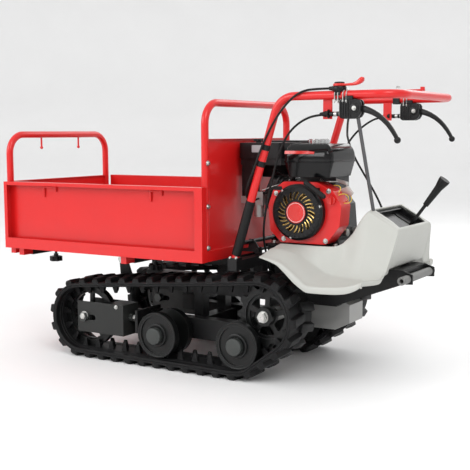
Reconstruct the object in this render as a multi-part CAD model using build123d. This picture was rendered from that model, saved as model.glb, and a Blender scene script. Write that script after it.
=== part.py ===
from build123d import *
import math
import os

# Power wheelbarrow: a walk-behind tracked mini dumper with an extending, tipping load bed.
# Millimetres. +X is forward (towards the load bed's front gate), +Y the machine's left side,
# +Z up. The ground is Z = 0 and the origin is under the middle of the whole machine.

os.makedirs("parts", exist_ok=True)

LEFT, RIGHT = 1, -1

# ---- tracks -------------------------------------------------------------------------------
link_pitch = 60.0            # along the belt's cord line
link_count = 37
belt_width = 150.0
belt_middle_y = 227.0        # middle of each belt, from the middle of the machine
carcass_thick = 16.0
cord_depth = 8.0             # cord line, measured in from the belt's inner face
tread_height = 16.0
tread_length = 30.0
horn_height = 28.0
horn_length = 24.0
horn_width = 12.0
horn_gap = 30.0              # clear channel between the two rows of guide horns

# ---- wheels inside the tracks -------------------------------------------------------------
tooth_count = 12
sprocket_x = -294.0
sprocket_z = 211.0
tooth_clearance = 0.4        # tooth tips to the belt's inner face
sprocket_width = 24.0
sprocket_windows = 5
idler_radius = 109.6
idler_z = 142.0
idler_width = 24.0
roller_radius = 78.6
drum_radius = 24.0
roller_rim = 24.0            # width of each of a roller's two discs
roller_x = {"front": 112.0, "rear": -207.0}
wheel_clearance = 0.4        # wheel treads to the belt's inner face
axle_radius = 12.0
running_fit = 0.05
ground_face = carcass_thick + tread_height     # height of the belt's inner face on the ground

# ---- track frames -------------------------------------------------------------------------
beam_outer_y = 166.0
beam_width = 44.0
beam_low, beam_high = 88.0, 160.0
beam_rear, beam_front = -250.0, 206.0
tension_plate = 6.0
tension_half_width = 43.0
tension_rear = 262.0
tension_reach = 32.0         # tension box past the idler's axle
tension_low, tension_high = 88.0, 198.0
slot_length = 40.0
adjuster_z = 150.0
adjuster_radius = 8.0

# ---- chassis ------------------------------------------------------------------------------
rail_y = 75.0
rail_width = 40.0
rail_low, rail_high = 236.0, 276.0
rail_rear, rail_front = -476.0, 400.0
tube_wall = 3.0
crossbar_x = (60.0, -150.0)
crossbar_size = 50.0
crossbar_z = 124.0
outrigger_x = -182.0
outrigger_size = 34.0
outrigger_low, outrigger_high = 352.0, 386.0
outrigger_half = 262.0
pad_x = -40.0
pad_height = 14.0
engine_deck_low = 424.0
deck_thick = 8.0
deck_x = (-485.0, -230.0)
deck_half = 112.0

# ---- load bed -----------------------------------------------------------------------------
pivot_x, pivot_z = 390.0, 335.0
pivot_radius = 10.0
sheet = 2.0
bed_rear, bed_front = -108.0, 765.0
floor_low = 379.0
panel_top = 623.0
panel_inner_y = 295.0
panel_outer_y = 324.0
panel_rim_top = 12.0
panel_rim_low = 38.0
panel_rim_end = 30.0
subrail_y = 75.0
subrail_width = 26.0
subrail_low = 340.0
socket_x = (225.0, 700.0)
socket_size = 24.0
socket_wall = 2.0
socket_from_y, socket_to_y = 90.0, 262.0
arm_slack = 0.5
arm_end_y = 104.0
panel_lift = 0.4              # gap between a sliding panel and what it slides over
gate_arm_y = 30.0
gate_socket_rear, gate_socket_front = 606.0, 760.0
front_beam = (738.0, 760.0)
front_beam_half = 300.0
gate_x = 776.0
gate_half = 284.0
hoop_tube = 12.5
hoop_wall = 2.0
hoop_y = 277.0
hoop_corner = 70.0
front_hoop_top = 794.0
rear_hoop_x = -91.0
rear_hoop_top = 895.0
sill_front = 13.0            # front of the headboard's sill, from the hoop's middle
headboard_top = 778.0
gate_pin_y = 107.0
gate_pin_length = 48.0
rope_hook_x = (67.0, 112.0, 532.0, 587.0)
rope_hook_radius = 4.0
knob_y = 124.0
knob_radius = 24.0
knob_low, knob_stem_low = 310.0, 328.0

# ---- handlebar ----------------------------------------------------------------------------
bar_radius = 13.0
bar_wall = 2.5
bar_y = 245.0
bar_foot = (-184.0, 392.0)
bar_knee = (-347.0, 908.0)
bar_rear = -737.0
bar_corner = 70.0
perch_x = (-625.0, -556.0)
perch_drop = 58.0
lever_pivot = (-605.0, 868.0)
lever_tip = (-735.0, 774.0)
lever_width = 14.0
cable_bracket_x = (-523.0, -493.0)
cable_web_x = (-515.0, -511.0)
throttle_x = -550.0
throttle_radius = 21.0
drive_lever_x = (-638.0, -532.0)

# ---- engine -------------------------------------------------------------------------------
crank_x, crank_z = -360.0, 542.0
recoil_radius = 91.0
recoil_y = (130.0, 156.0)
fan_cover_y = (60.0, 130.0)
block_y = (-100.0, 60.0)
pulley_y = (-142.0, -124.0)
engine_pulley_radius = 42.0
gearbox_pulley_radius = 62.0
input_x, input_z = -400.0, 305.0
shaft_radius = 9.0
tank_x = (-479.0, -301.0)
tank_y = (-58.0, 150.0)
tank_z = (655.0, 761.0)
cap_x, cap_y = -377.0, 30.0
cap_radius = 36.0
cleaner_x = (-277.0, -106.0)
cleaner_y = (-52.0, 98.0)
cleaner_z = (690.0, 764.0)

# ---- console ------------------------------------------------------------------------------
cover_wall = 4.0
fender_outer_y = 302.0
gear_lever_y = -50.0
gear_pivot = (-652.0, 478.0)
gear_knob = (-776.0, 643.0)
rear_bar_x, rear_bar_z = -717.0, 346.0
rear_bar_radius = 13.0


# ---- shapes used over and over ------------------------------------------------------------
def block(x_range, y_range, z_range):
    """A box between three pairs of coordinates, each pair in either order."""
    x0, x1 = sorted(x_range)
    y0, y1 = sorted(y_range)
    z0, z1 = sorted(z_range)
    middle = Pos((x0 + x1) / 2, (y0 + y1) / 2, (z0 + z1) / 2)
    return middle * Box(x1 - x0, y1 - y0, z1 - z0)


def rod(start, end, radius, bore=0.0):
    """A round bar, or a tube when it has a bore, between two points."""
    start, end = Vector(*start), Vector(*end)
    length = (end - start).length
    section = Circle(radius) - Circle(bore) if bore else Circle(radius)
    return Plane(start, z_dir=end - start) * extrude(section, length)


def cross_rod(x, z, y_range, radius, bore=0.0):
    """A round bar across the machine, at one place in the side view."""
    return rod((x, min(y_range), z), (x, max(y_range), z), radius, bore)


def side_plate(outline, y_range):
    """A sketch of the side view, X to the right and Z up, given its width in Y."""
    y0, y1 = sorted(y_range)
    return Plane((0, y1, 0), x_dir=(1, 0, 0), z_dir=(0, -1, 0)) * extrude(outline, y1 - y0)


def polygon(*points):
    return make_face(Polyline(*points, close=True))


def swept(points, radii, radius, bore=0.0):
    """A round tube along straight runs joined by tangent arcs."""
    path = FilletPolyline(*points, radius=radii) if len(points) > 2 else Line(*points)
    section = Circle(radius) - Circle(bore) if bore else Circle(radius)
    return sweep(Plane(path @ 0, z_dir=path % 0) * section, path=path)


def hexagon_head(x, z, y_range, across_flats):
    """A hexagon nut or bolt head, with its axis across the machine."""
    shape = RegularPolygon(across_flats / 2, 6, major_radius=False)
    return side_plate(Pos(x, z) * shape, y_range)


def on_side(shape, side):
    """The shape as drawn for the left side, or its mirror image for the right."""
    return shape if side == LEFT else mirror(shape, about=Plane.XZ)


def both_sides(shape):
    return [shape, on_side(shape, RIGHT)]


def joined(*shapes):
    """One solid from pieces that are welded or cast together."""
    whole = shapes[0]
    for other in shapes[1:]:
        whole = whole + other
    return whole


def save(name, *shapes):
    """Write one node: one solid, or a group of separate solids."""
    solids = [solid for shape in shapes for solid in shape.solids()]
    export_step(solids[0] if len(solids) == 1 else Compound(solids), f"parts/{name}.step")


# ---- the belt's course round its wheels ---------------------------------------------------
sprocket_seat = link_pitch * tooth_count / (2 * math.pi) - cord_depth
idler_seat = idler_radius + wheel_clearance
roller_seat = roller_radius + wheel_clearance
roller_z = ground_face + roller_seat


def wheels(idler_x):
    """Centre and belt seat radius of each wheel, counterclockwise in the side view."""
    return [
        (roller_x["rear"], roller_z, roller_seat),
        (roller_x["front"], roller_z, roller_seat),
        (idler_x, idler_z, idler_seat),
        (sprocket_x, sprocket_z, sprocket_seat),
    ]


def course(circles, offset):
    """Runs and arcs of a belt lying at an offset outside a ring of circles."""
    runs = []
    for index, (x0, z0, r0) in enumerate(circles):
        x1, z1, r1 = circles[(index + 1) % len(circles)]
        heading = math.atan2(z1 - z0, x1 - x0)
        lean = math.asin((r1 - r0) / math.hypot(x1 - x0, z1 - z0))
        normal = heading - math.pi / 2 - lean
        out = Vector(math.cos(normal), math.sin(normal))
        start = Vector(x0, z0) + out * (r0 + offset)
        end = Vector(x1, z1) + out * (r1 + offset)
        runs.append((start, end, normal))
    pieces = []
    for index, (start, end, normal) in enumerate(runs):
        x1, z1, r1 = circles[(index + 1) % len(circles)]
        turn = (runs[(index + 1) % len(runs)][2] - normal) % (2 * math.pi)
        pieces.append(("run", start, end, normal, (end - start).length))
        pieces.append(("arc", Vector(x1, z1), r1 + offset, normal, turn * (r1 + offset)))
    return pieces


def course_length(circles, offset):
    return sum(piece[4] for piece in course(circles, offset))


def course_face(circles, offset):
    """The filled outline of a belt's course."""
    edges = []
    for kind, first, second, normal, length in course(circles, offset):
        if kind == "run":
            edges.append(Line(first, second))
        else:
            begin = math.degrees(normal)
            edges.append(CenterArc(first, second, begin, math.degrees(length / second)))
    return make_face(edges)


def course_places(circles, count, phase):
    """Evenly spaced places along the cord line: point on the inner face and outward angle."""
    pieces = course(circles, cord_depth)
    step = course_length(circles, cord_depth) / count
    places = []
    for index in range(count):
        left = (index + phase) * step
        for kind, first, second, normal, length in pieces:
            if left > length:
                left -= length
                continue
            if kind == "run":
                angle = normal
                point = first + (second - first) * (left / length)
            else:
                angle = normal + left / second
                point = first + Vector(math.cos(angle), math.sin(angle)) * second
            inner = point - Vector(math.cos(angle), math.sin(angle)) * cord_depth
            places.append((inner, math.degrees(angle)))
            break
    return places


def solve_idler_x():
    """The idler's place that makes the cord line exactly link_count pitches long."""
    near, far = roller_x["front"], roller_x["front"] + link_pitch * link_count / 2
    for _ in range(60):
        middle = (near + far) / 2
        if course_length(wheels(middle), cord_depth) < link_pitch * link_count:
            near = middle
        else:
            far = middle
    return (near + far) / 2


idler_x = solve_idler_x()
belt_wheels = wheels(idler_x)


def track_belt():
    """Endless rubber belt: carcass, chevron tread outside, two rows of guide horns inside."""
    edge = belt_middle_y - belt_width / 2
    carcass = course_face(belt_wheels, carcass_thick) - course_face(belt_wheels, 0)
    root, tip = tread_length / 2, tread_length / 2 - 4
    sink = carcass_thick / 2
    tread = polygon((sink, -root), (carcass_thick, -root), (ground_face, -tip),
                    (ground_face, tip), (carcass_thick, root), (sink, root))
    horn = polygon((cord_depth, -horn_length / 2), (0, -horn_length / 2), (-horn_height, -5),
                   (-horn_height, 5), (0, horn_length / 2), (cord_depth, horn_length / 2))

    def placed(shape, phase):
        places = course_places(belt_wheels, link_count, phase)
        return [Pos(at.X, at.Y) * Rot(0, 0, angle) * shape for at, angle in places]

    half = belt_width / 2
    belt = side_plate(carcass, (edge, edge + belt_width))
    outer_bars = [side_plate(bar, (edge + half - 6, edge + belt_width))
                  for bar in placed(tread, 0.0)]
    inner_bars = [side_plate(bar, (edge, edge + half + 6)) for bar in placed(tread, 0.5)]
    horns = []
    for row, phase in ((1, 0.0), (-1, 0.5)):
        near = belt_middle_y + row * horn_gap / 2
        horns += [side_plate(one, (near, near + row * horn_width)) for one in placed(horn, phase)]
    return belt.fuse(*outer_bars, *inner_bars, *horns)


# ---- wheels -------------------------------------------------------------------------------
def spoked_disc(x, z, outer, hub, windows, y_range):
    """A cast disc with windows between its straight spokes."""
    spoke_width = 16
    windows_area = Circle(outer - 20) - Circle(hub + 8)
    for index in range(windows):
        spoke = Rectangle(outer, spoke_width, align=(Align.MIN, Align.CENTER))
        windows_area -= Rot(0, 0, 360 / windows * index + 20) * spoke
    disc = Circle(outer) - fillet(windows_area.vertices(), 5)
    return side_plate(Pos(x, z) * disc, y_range)


def sprocket():
    """Drive sprocket: toothed rim, spoked web and hub on the half shaft."""
    tip = sprocket_seat - tooth_clearance
    root = tip - 16
    low, high = belt_middle_y - sprocket_width / 2, belt_middle_y + sprocket_width / 2
    pitch_angle = 360 / tooth_count
    tooth = polygon((root - 4, -15), (root, -15), (tip - 2, -8), (tip - 0.6, -6),
                    (tip - 0.6, 6), (tip - 2, 8), (root, 15), (root - 4, 15))
    teeth = Circle(root) - Circle(root - 16)
    for index in range(tooth_count):
        teeth += Rot(0, 0, pitch_angle * index) * tooth
    rim = side_plate(Pos(sprocket_x, sprocket_z) * teeth, (low, high))
    web = spoked_disc(sprocket_x, sprocket_z, root - 6, 26, sprocket_windows,
                      (belt_middle_y - 5, belt_middle_y + 5))
    hub = cross_rod(sprocket_x, sprocket_z, (low - 8, high + 14), 30)
    bore = cross_rod(sprocket_x, sprocket_z, (low - 10, high + 20), axle_radius + running_fit)
    return joined(rim, web, hub) - bore


def half_shaft():
    """Output shaft from the gearbox out to the sprocket, with its washer and nut."""
    high = belt_middle_y + sprocket_width / 2 + 14
    shaft = cross_rod(sprocket_x, sprocket_z, (62, high + 18), axle_radius)
    washer = cross_rod(sprocket_x, sprocket_z, (high, high + 4), 19)
    nut = hexagon_head(sprocket_x, sprocket_z, (high + 4, high + 14), 30)
    return joined(shaft, washer, nut)


def idler():
    """Front idler: a spoked wheel that runs between the two rows of horns."""
    low, high = belt_middle_y - idler_width / 2, belt_middle_y + idler_width / 2
    rim = cross_rod(idler_x, idler_z, (low, high), idler_radius, idler_radius - 18)
    web = spoked_disc(idler_x, idler_z, idler_radius - 6, 24, sprocket_windows,
                      (belt_middle_y - 5, belt_middle_y + 5))
    hub = cross_rod(idler_x, idler_z, (low - 10, high + 10), 28)
    bore = cross_rod(idler_x, idler_z, (low - 12, high + 12), axle_radius + running_fit)
    return joined(rim, web, hub) - bore


disc_gap = horn_gap + 2 * horn_width + 4       # between the two discs of a roller


def roller(which):
    """Road roller: two dished discs on one drum, one each side of the horns."""
    x = roller_x[which]
    parts = []
    for row in (1, -1):
        inner = belt_middle_y + row * disc_gap / 2
        disc = cross_rod(x, roller_z, (inner, inner + row * roller_rim), roller_radius)
        face = inner + row * roller_rim
        groove = cross_rod(x, roller_z, (face, face - row * 5), roller_radius - 14, 40)
        parts.append(disc - groove)
    drum = cross_rod(x, roller_z, (belt_middle_y - disc_gap / 2, belt_middle_y + disc_gap / 2),
                     drum_radius)
    bore = cross_rod(x, roller_z, (belt_middle_y - 80, belt_middle_y + 80),
                     axle_radius + running_fit)
    return joined(parts[0], drum, parts[1]) - bore


def roller_axle(which):
    """Stub axle out of the track beam, with the cap that keeps the roller on."""
    x = roller_x[which]
    face = belt_middle_y + disc_gap / 2 + roller_rim
    shaft = cross_rod(x, roller_z, (beam_outer_y, face + 1), axle_radius)
    cap = cross_rod(x, roller_z, (face + 0.4, face + 12), 27)
    bolt = hexagon_head(x, roller_z, (face + 12, face + 19), 19)
    return joined(shaft, cap, bolt)


def idler_axle():
    plate = tension_half_width
    shaft = cross_rod(idler_x, idler_z, (belt_middle_y - plate - 12, belt_middle_y + plate + 12),
                      axle_radius - 2)
    low, high = belt_middle_y - idler_width / 2 - 10.4, belt_middle_y + idler_width / 2 + 10.4
    sleeve = cross_rod(idler_x, idler_z, (belt_middle_y - plate + tension_plate,
                                          belt_middle_y + plate - tension_plate), axle_radius)
    spacers = [cross_rod(idler_x, idler_z, pair, axle_radius + 6)
               for pair in ((belt_middle_y - plate + tension_plate, low),
                            (high, belt_middle_y + plate - tension_plate))]
    heads = [hexagon_head(idler_x, idler_z, (belt_middle_y + side * plate,
                                             belt_middle_y + side * (plate + 12)), 30)
             for side in (1, -1)]
    return joined(shaft, sleeve, *spacers, *heads)


# ---- track frames -------------------------------------------------------------------------
def tension_box():
    """Sliding fork that carries the idler: two slotted plates and a closed rear end."""
    front = idler_x + tension_reach
    box = block((tension_rear, front),
                (belt_middle_y - tension_half_width, belt_middle_y + tension_half_width),
                (tension_low, tension_high))
    inner = tension_half_width - tension_plate
    pocket = block((tension_rear + tension_plate, front + 1),
                   (belt_middle_y - inner, belt_middle_y + inner),
                   (tension_low + tension_plate, tension_high - tension_plate))
    swing = idler_radius + 6
    mouth = cross_rod(idler_x, idler_z, (belt_middle_y - inner, belt_middle_y + inner), swing)
    slot = Pos(idler_x - slot_length / 2, idler_z) * SlotCenterToCenter(
        slot_length, 2 * (axle_radius - 2 + running_fit))
    slots = side_plate(slot, (belt_middle_y - 60, belt_middle_y + 60))
    return box - pocket - mouth - slots


def track_frame():
    """Box-section beam with roller bosses, the adjuster bracket and the tension box's guide."""
    low_y = beam_outer_y - beam_width
    beam = block((beam_rear, beam_front), (low_y, beam_outer_y), (beam_low, beam_high))
    hollow = block((beam_rear + 20, beam_front - 20), (low_y + 4, beam_outer_y - 4),
                   (beam_low + 4, beam_high - 4))
    guide_y = belt_middle_y - tension_half_width
    guide = block((beam_front - 10, tension_rear + 50), (guide_y - 18, guide_y), (112, 172))
    tongue = block((beam_front - 10, beam_front + 8), (low_y, guide_y), (beam_low, 172))
    bracket = block((beam_front, beam_front + 10), (low_y, belt_middle_y + 34), (104, 184))
    bore = rod((beam_front - 20, belt_middle_y, adjuster_z),
               (beam_front + 20, belt_middle_y, adjuster_z), adjuster_radius)
    plate = side_plate(polygon((beam_rear + 60, beam_high - 2), (beam_rear - 62, 236),
                               (beam_rear - 70, 186), (beam_rear - 10, beam_low)),
                       (low_y, low_y + 10))
    boss = cross_rod(sprocket_x, sprocket_z, (low_y, low_y + 10), housing_radius + 13)
    hub_bore = cross_rod(sprocket_x, sprocket_z, (low_y - 1, low_y + 11), housing_radius + 0.3)
    return joined(beam - hollow, guide, tongue, bracket, plate, boss) - bore - hub_bore


def track_adjuster():
    """Push bolt behind the tension box, with its lock nut."""
    y, z = belt_middle_y, adjuster_z
    shank = rod((beam_front - 22, y, z), (tension_rear - 10, y, z), adjuster_radius)
    head = Plane((tension_rear - 12, y, z), z_dir=(1, 0, 0)) * extrude(
        RegularPolygon(12, 6, major_radius=False), 12)
    nut = Plane((beam_front + 10, y, z), z_dir=(1, 0, 0)) * extrude(
        RegularPolygon(12, 6, major_radius=False), 10)
    return joined(shank, head, nut)


# ---- chassis ------------------------------------------------------------------------------
housing_radius = 25.0
housing_outer_y = belt_middle_y - sprocket_width / 2 - 10


def chassis_frame():
    """Welded frame: two rails, cross tubes to the track beams, posts and brackets."""
    inner_y = beam_outer_y - beam_width
    parts = []
    for side in (LEFT, RIGHT):
        y0 = side * (rail_y - rail_width / 2)
        y1 = side * (rail_y + rail_width / 2)
        parts.append(block((rail_rear, rail_front), (y0, y1), (rail_low, rail_high)))
        for x in crossbar_x:
            parts.append(block((x - 18, x + 18), (y0, y1), (crossbar_z, rail_low)))
        for x in (deck_x[0] + 30, deck_x[1] - 30):
            high = engine_deck_low
            parts.append(block((x - 14, x + 14), (y0 + side * 6, y1 - side * 6), (rail_high, high)))
        parts.append(block((outrigger_x - 17, outrigger_x + 17), (y0, y1),
                           (rail_high, outrigger_low)))
        parts.append(block((pad_x - 20, pad_x + 20), (y0 + side * 6, y1 - side * 6),
                           (rail_high, subrail_low - pad_height)))
        stand = polygon((rail_front - 62, rail_high - 30), (rail_front, rail_high - 30),
                        (pivot_x + 17, pivot_z), (pivot_x + 17, pivot_z + 17),
                        (pivot_x - 17, pivot_z + 17), (pivot_x - 17, pivot_z))
        parts.append(side_plate(stand, (side * (rail_y + rail_width / 2),
                                        side * (rail_y + rail_width / 2 + 8))))
    for x in crossbar_x:
        half = crossbar_size / 2
        parts.append(block((x - half, x + half), (-inner_y, inner_y),
                           (crossbar_z - half, crossbar_z + half)))
    parts.append(block((outrigger_x - outrigger_size / 2, outrigger_x + outrigger_size / 2),
                       (-outrigger_half, outrigger_half), (outrigger_low, outrigger_high)))
    parts.append(block((280, 310), (-rail_y, rail_y), (rail_low, rail_high)))
    for side in (LEFT, RIGHT):
        parts.append(block((-254, -234), (side * 94, side * 124), (rail_high - 24, 300)))
    bore = cross_rod(pivot_x, pivot_z, (-200, 200), pivot_radius + running_fit)
    return joined(*parts) - bore


def gearbox():
    """Aluminium transmission case with its input tower and the two axle housings."""
    case = polygon((sprocket_x + 50, 165), (sprocket_x + 50, 262), (-450, 262), (-503, 236),
                   (-503, 176), (-452, 150), (-300, 150))
    body = side_plate(case, (-52, 52))
    tower = block((input_x - 42, input_x + 42), (-46, 46), (255, input_z + 40))
    flanges = [block((sprocket_x - 40, sprocket_x + 40), (side * 50, side * 60),
                     (172, rail_low)) for side in (LEFT, RIGHT)]
    housings = [cross_rod(sprocket_x, sprocket_z, (side * 50, side * housing_outer_y),
                          housing_radius, axle_radius + running_fit)
                for side in (LEFT, RIGHT)]
    bore = cross_rod(sprocket_x, sprocket_z, (-61, 61), axle_radius + running_fit)
    input_bore = cross_rod(input_x, input_z, (-60, -10), shaft_radius + running_fit)
    return joined(body, tower, *flanges, *housings) - bore - input_bore


def pulley(x, z, radius, shaft_y):
    """V-belt pulley with its own shaft stub."""
    y0, y1 = pulley_y
    wheel = cross_rod(x, z, (y0, y1), radius)
    groove = cross_rod(x, z, (y0 + 4, y1 - 4), radius + 1, radius - 9)
    shaft = cross_rod(x, z, (y0 - 3, shaft_y), shaft_radius)
    return joined(wheel - groove, shaft)


def drive_belt():
    """V-belt round the engine and gearbox pulleys."""
    circles = [(input_x, input_z, gearbox_pulley_radius - 8.6),
               (crank_x, crank_z, engine_pulley_radius - 8.6)]
    loop = course_face(circles, 8) - course_face(circles, 0)
    return side_plate(loop, (pulley_y[0] + 4.5, pulley_y[1] - 4.5))


def belt_guard():
    """Pressed steel guard over the belt, open towards the machine."""
    circles = [(input_x, input_z, gearbox_pulley_radius), (crank_x, crank_z, engine_pulley_radius)]
    wall = 3
    outer, rim_y = 16, pulley_y[1] + 6
    shell = side_plate(course_face(circles, outer), (pulley_y[0] - 8, rim_y))
    room = side_plate(course_face(circles, outer - wall), (pulley_y[0] - 8 + wall, rim_y + 1))
    top = crank_z + engine_pulley_radius + outer
    low = input_z - gearbox_pulley_radius - outer
    rail_face = -rail_y - rail_width / 2
    tab = block((crank_x - 16, crank_x + 16), (rim_y - 12, block_y[0]), (top - wall, top))
    foot = block((input_x - 14, input_x + 14), (rim_y - 12, rail_face), (low, low + wall))
    flange = block((input_x - 14, input_x + 14), (rail_face - wall, rail_face), (low, rail_high - 8))
    return joined(shell - room, tab, foot, flange)


def engine_deck():
    """Plate that carries the engine, with a folded front edge."""
    plate = block(deck_x, (-deck_half, deck_half), (engine_deck_low, engine_deck_low + deck_thick))
    lip = block((deck_x[1] - 4, deck_x[1]), (-deck_half, deck_half),
                (engine_deck_low - 22, engine_deck_low + deck_thick))
    return plate + lip


# ---- engine -------------------------------------------------------------------------------
def engine_block():
    """Crankcase with its base, the slanted finned cylinder and the rocker cover."""
    base = engine_deck_low + deck_thick
    case = side_plate(polygon((-470, base), (-255, base), (-248, base + 14), (-262, 520),
                              (-300, 612), (-402, 620), (-452, 560), (-462, base + 14)), block_y)
    barrel = Plane((-300, 0, 560), z_dir=(math.cos(math.radians(25)), 0,
                                          math.sin(math.radians(25))))
    cylinder = barrel * extrude(RectangleRounded(104, 106, 12), 96)
    fins = joined(*[barrel * Pos(0, 0, 34 + 13 * step) * extrude(RectangleRounded(124, 118, 12), 4)
                    for step in range(5)])
    head = barrel * Pos(0, 0, 96) * extrude(RectangleRounded(92, 98, 14), 26)
    mount = block((-452, -322), (-46, 56), (606, tank_z[0]))
    bore = cross_rod(crank_x, crank_z, (block_y[0] - 10, block_y[0] + 40),
                     shaft_radius + running_fit)
    return joined(case, cylinder, fins, head, mount) - bore


def fan_cover():
    """Pressed red shroud round the flywheel fan, open at the back and under the recoil."""
    low = engine_deck_low + deck_thick + 8
    outline = polygon((-452, low), (-290, low), (-250, 478), (-243, 560), (-262, 612),
                      (-300, 639), (-420, 639), (-478, 612), (-506, 566), (-500, 500))
    outline = fillet(outline.vertices(), 14)
    shell = side_plate(outline, fan_cover_y)
    room = side_plate(offset(outline, -3), (fan_cover_y[0] - 1, fan_cover_y[1] - 3))
    mouth = cross_rod(crank_x, crank_z, (fan_cover_y[1] - 4, fan_cover_y[1] + 1),
                      recoil_radius - 9)
    return shell - room - mouth


def recoil_cover():
    """Black recoil housing with a ring of curved air slots round the blank centre plate."""
    y0, y1 = recoil_y
    drum = cross_rod(crank_x, crank_z, (y0, y1 - 8), recoil_radius)
    dome = Plane((crank_x, y1 - 8, crank_z), x_dir=(1, 0, 0), z_dir=(0, 1, 0)) * extrude(
        Circle(recoil_radius), 8, taper=45)
    room = cross_rod(crank_x, crank_z, (y0 - 1, y1 - 4), recoil_radius - 16)
    centre = cross_rod(crank_x, crank_z, (y1 - 6, y1 + 4), 36)
    slots = []
    for index in range(16):
        slot = Rot(0, 0, 360 / 16 * index) * Pos(55, 0) * Rot(0, 0, 24) * SlotOverall(28, 7)
        slots.append(side_plate(Pos(crank_x, crank_z) * slot, (y1 - 9, y1 + 1)))
    spout = block((-432, -392), (y0 + 2, y1 - 6), (594, 622))
    body = joined(drum, dome, spout) - room
    whole = body + centre
    for slot in slots:
        whole -= slot
    return whole


def starter_grip():
    """Recoil starter's slanted grip with the end of its rope."""
    high, low = (-402, 170, 638), (-462, 170, 598)
    grip = rod(high, low, 8.5) + Pos(*high) * Sphere(8.5) + Pos(*low) * Sphere(8.5)
    neck = rod((-432, recoil_y[1] - 3.9, 612), (-432, 166, 618), 5)
    return grip + neck


def fuel_tank():
    """Two pressed halves seamed round the middle, with the filler neck."""
    seam = 705
    plan = Pos(sum(tank_x) / 2, sum(tank_y) / 2) * RectangleRounded(
        tank_x[1] - tank_x[0], tank_y[1] - tank_y[0], 26)
    low = loft([Pos(0, 0, tank_z[0]) * offset(plan, -16), Pos(0, 0, seam - 3) * offset(plan, -3)])
    flange = Pos(0, 0, seam - 3) * extrude(plan, 5)
    high = loft([Pos(0, 0, seam + 2) * offset(plan, -3), Pos(0, 0, 742) * offset(plan, -8),
                 Pos(0, 0, tank_z[1]) * offset(plan, -24)])
    neck = Pos(cap_x, cap_y, tank_z[1] - 4) * extrude(Circle(24), 8)
    return joined(low, flange, high, neck)


def fuel_cap():
    cap_low = tank_z[1] + 0.4
    cap = Pos(cap_x, cap_y, cap_low) * extrude(Circle(cap_radius), 12)
    dome = Pos(cap_x, cap_y, cap_low + 12) * extrude(Circle(cap_radius - 4), 3)
    seat = Pos(cap_x, cap_y, cap_low - 1) * extrude(Circle(24.5), 5)
    notches = [Pos(cap_x, cap_y, cap_low) * Rot(0, 0, 30 * i) * Pos(cap_radius + 1, 0, 0)
               * extrude(Circle(4), 12) for i in range(12)]
    whole = cap + dome - seat
    for notch in notches:
        whole -= notch
    return whole


def air_cleaner():
    """Air cleaner: case on its intake elbow, lid and wing nut."""
    lid = block(cleaner_x, cleaner_y, (cleaner_z[0] + 22, cleaner_z[1]))
    lid = fillet(lid.edges().filter_by(Axis.Z), 18)
    case = block((cleaner_x[0] + 8, cleaner_x[1] - 8), (cleaner_y[0] + 8, cleaner_y[1] - 8),
                 (cleaner_z[0], cleaner_z[0] + 22))
    elbow = block((-158, -118), (40, 90), (584, cleaner_z[0]))
    nut = Pos(-154, 40, cleaner_z[1]) * extrude(Circle(9), 10)
    wings = block((-172, -136), (37, 43), (cleaner_z[1] + 3, cleaner_z[1] + 13))
    return joined(lid, case, elbow, nut, wings)


def muffler():
    """Exhaust box with the pipe from the cylinder head and the guard's two tabs."""
    body = Pos(-178, -120, 700) * Rot(0, 90, 0) * extrude(RectangleRounded(86, 88, 24), 54, both=True)
    pipe = rod((-204, -58.5, 618), (-210, -96, 676), 9)
    tabs = [block((-178 + side * 50, -178 + side * 70), (-128, -112), (690, 710))
            for side in (1, -1)]
    flange = block((-214, -190), (-60, -49), (604, 634))
    return joined(body, pipe, flange, *tabs)


def muffler_guard():
    """Slotted heat guard over the muffler, open underneath."""
    outside = block((-251, -105), (-180, -62), (642, 770))
    box = fillet(outside.edges().filter_by(Axis.Z), 16)
    inside = block((-248, -108), (-177, -65), (640, 767))
    room = fillet(inside.edges().filter_by(Axis.Z), 13)
    whole = box - room - rod((-204, -58.5, 618), (-210, -96, 676), 10.5)
    for index in range(6):
        left = -236 + 21 * index
        whole -= block((left, left + 10), (-164, -78), (760, 775))
    return whole


def carburettor():
    """Carburettor: body, float bowl, neck to the cylinder head and flange under the elbow."""
    body = block((-206, -160), (70, 104), (556, 600))
    bowl = Pos(-184, 87, 516) * extrude(Circle(17), 42)
    flange = block((-162, -118), (70, 96), (560, 584))
    neck = block((-196, -178), (49, 71), (566, 594))
    return joined(body, bowl, flange, neck)


def oil_plugs():
    """Filler plug and drain plug on the crankcase's rear face."""
    return [rod((-461.3, y, 470), (-480, y, 470), 12) for y in (-60, 20)]


def engine_switch():
    """Rotary ignition switch knob on the fan cover."""
    knob = cross_rod(-474, 584, (fan_cover_y[1] + 0.3, fan_cover_y[1] + 9), 14)
    finger = block((-478, -470), (fan_cover_y[1] + 9, fan_cover_y[1] + 17), (571, 597))
    return knob + finger


# ---- console ------------------------------------------------------------------------------
console_edge = (Vector(-604, 557), Vector(-706, 500))   # top of the console in the side view
console_half = 146.0
tray_inset, tray_depth, tray_wall = 13.0, 22.0, 3.0
tray_half = 112.0


def sloped(along, down, y_range):
    """A box on the console's sloping top: distances along it and down into it."""
    high, low = console_edge
    run = (low - high).normalized()
    inward = Vector(-run.Y, run.X)
    corners = [high + run * s + inward * d for s, d in
               ((along[0], down[0]), (along[1], down[0]), (along[1], down[1]), (along[0], down[1]))]
    return side_plate(polygon(*[(c.X, c.Y) for c in corners]), y_range)


console_run = (console_edge[1] - console_edge[0]).length


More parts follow.
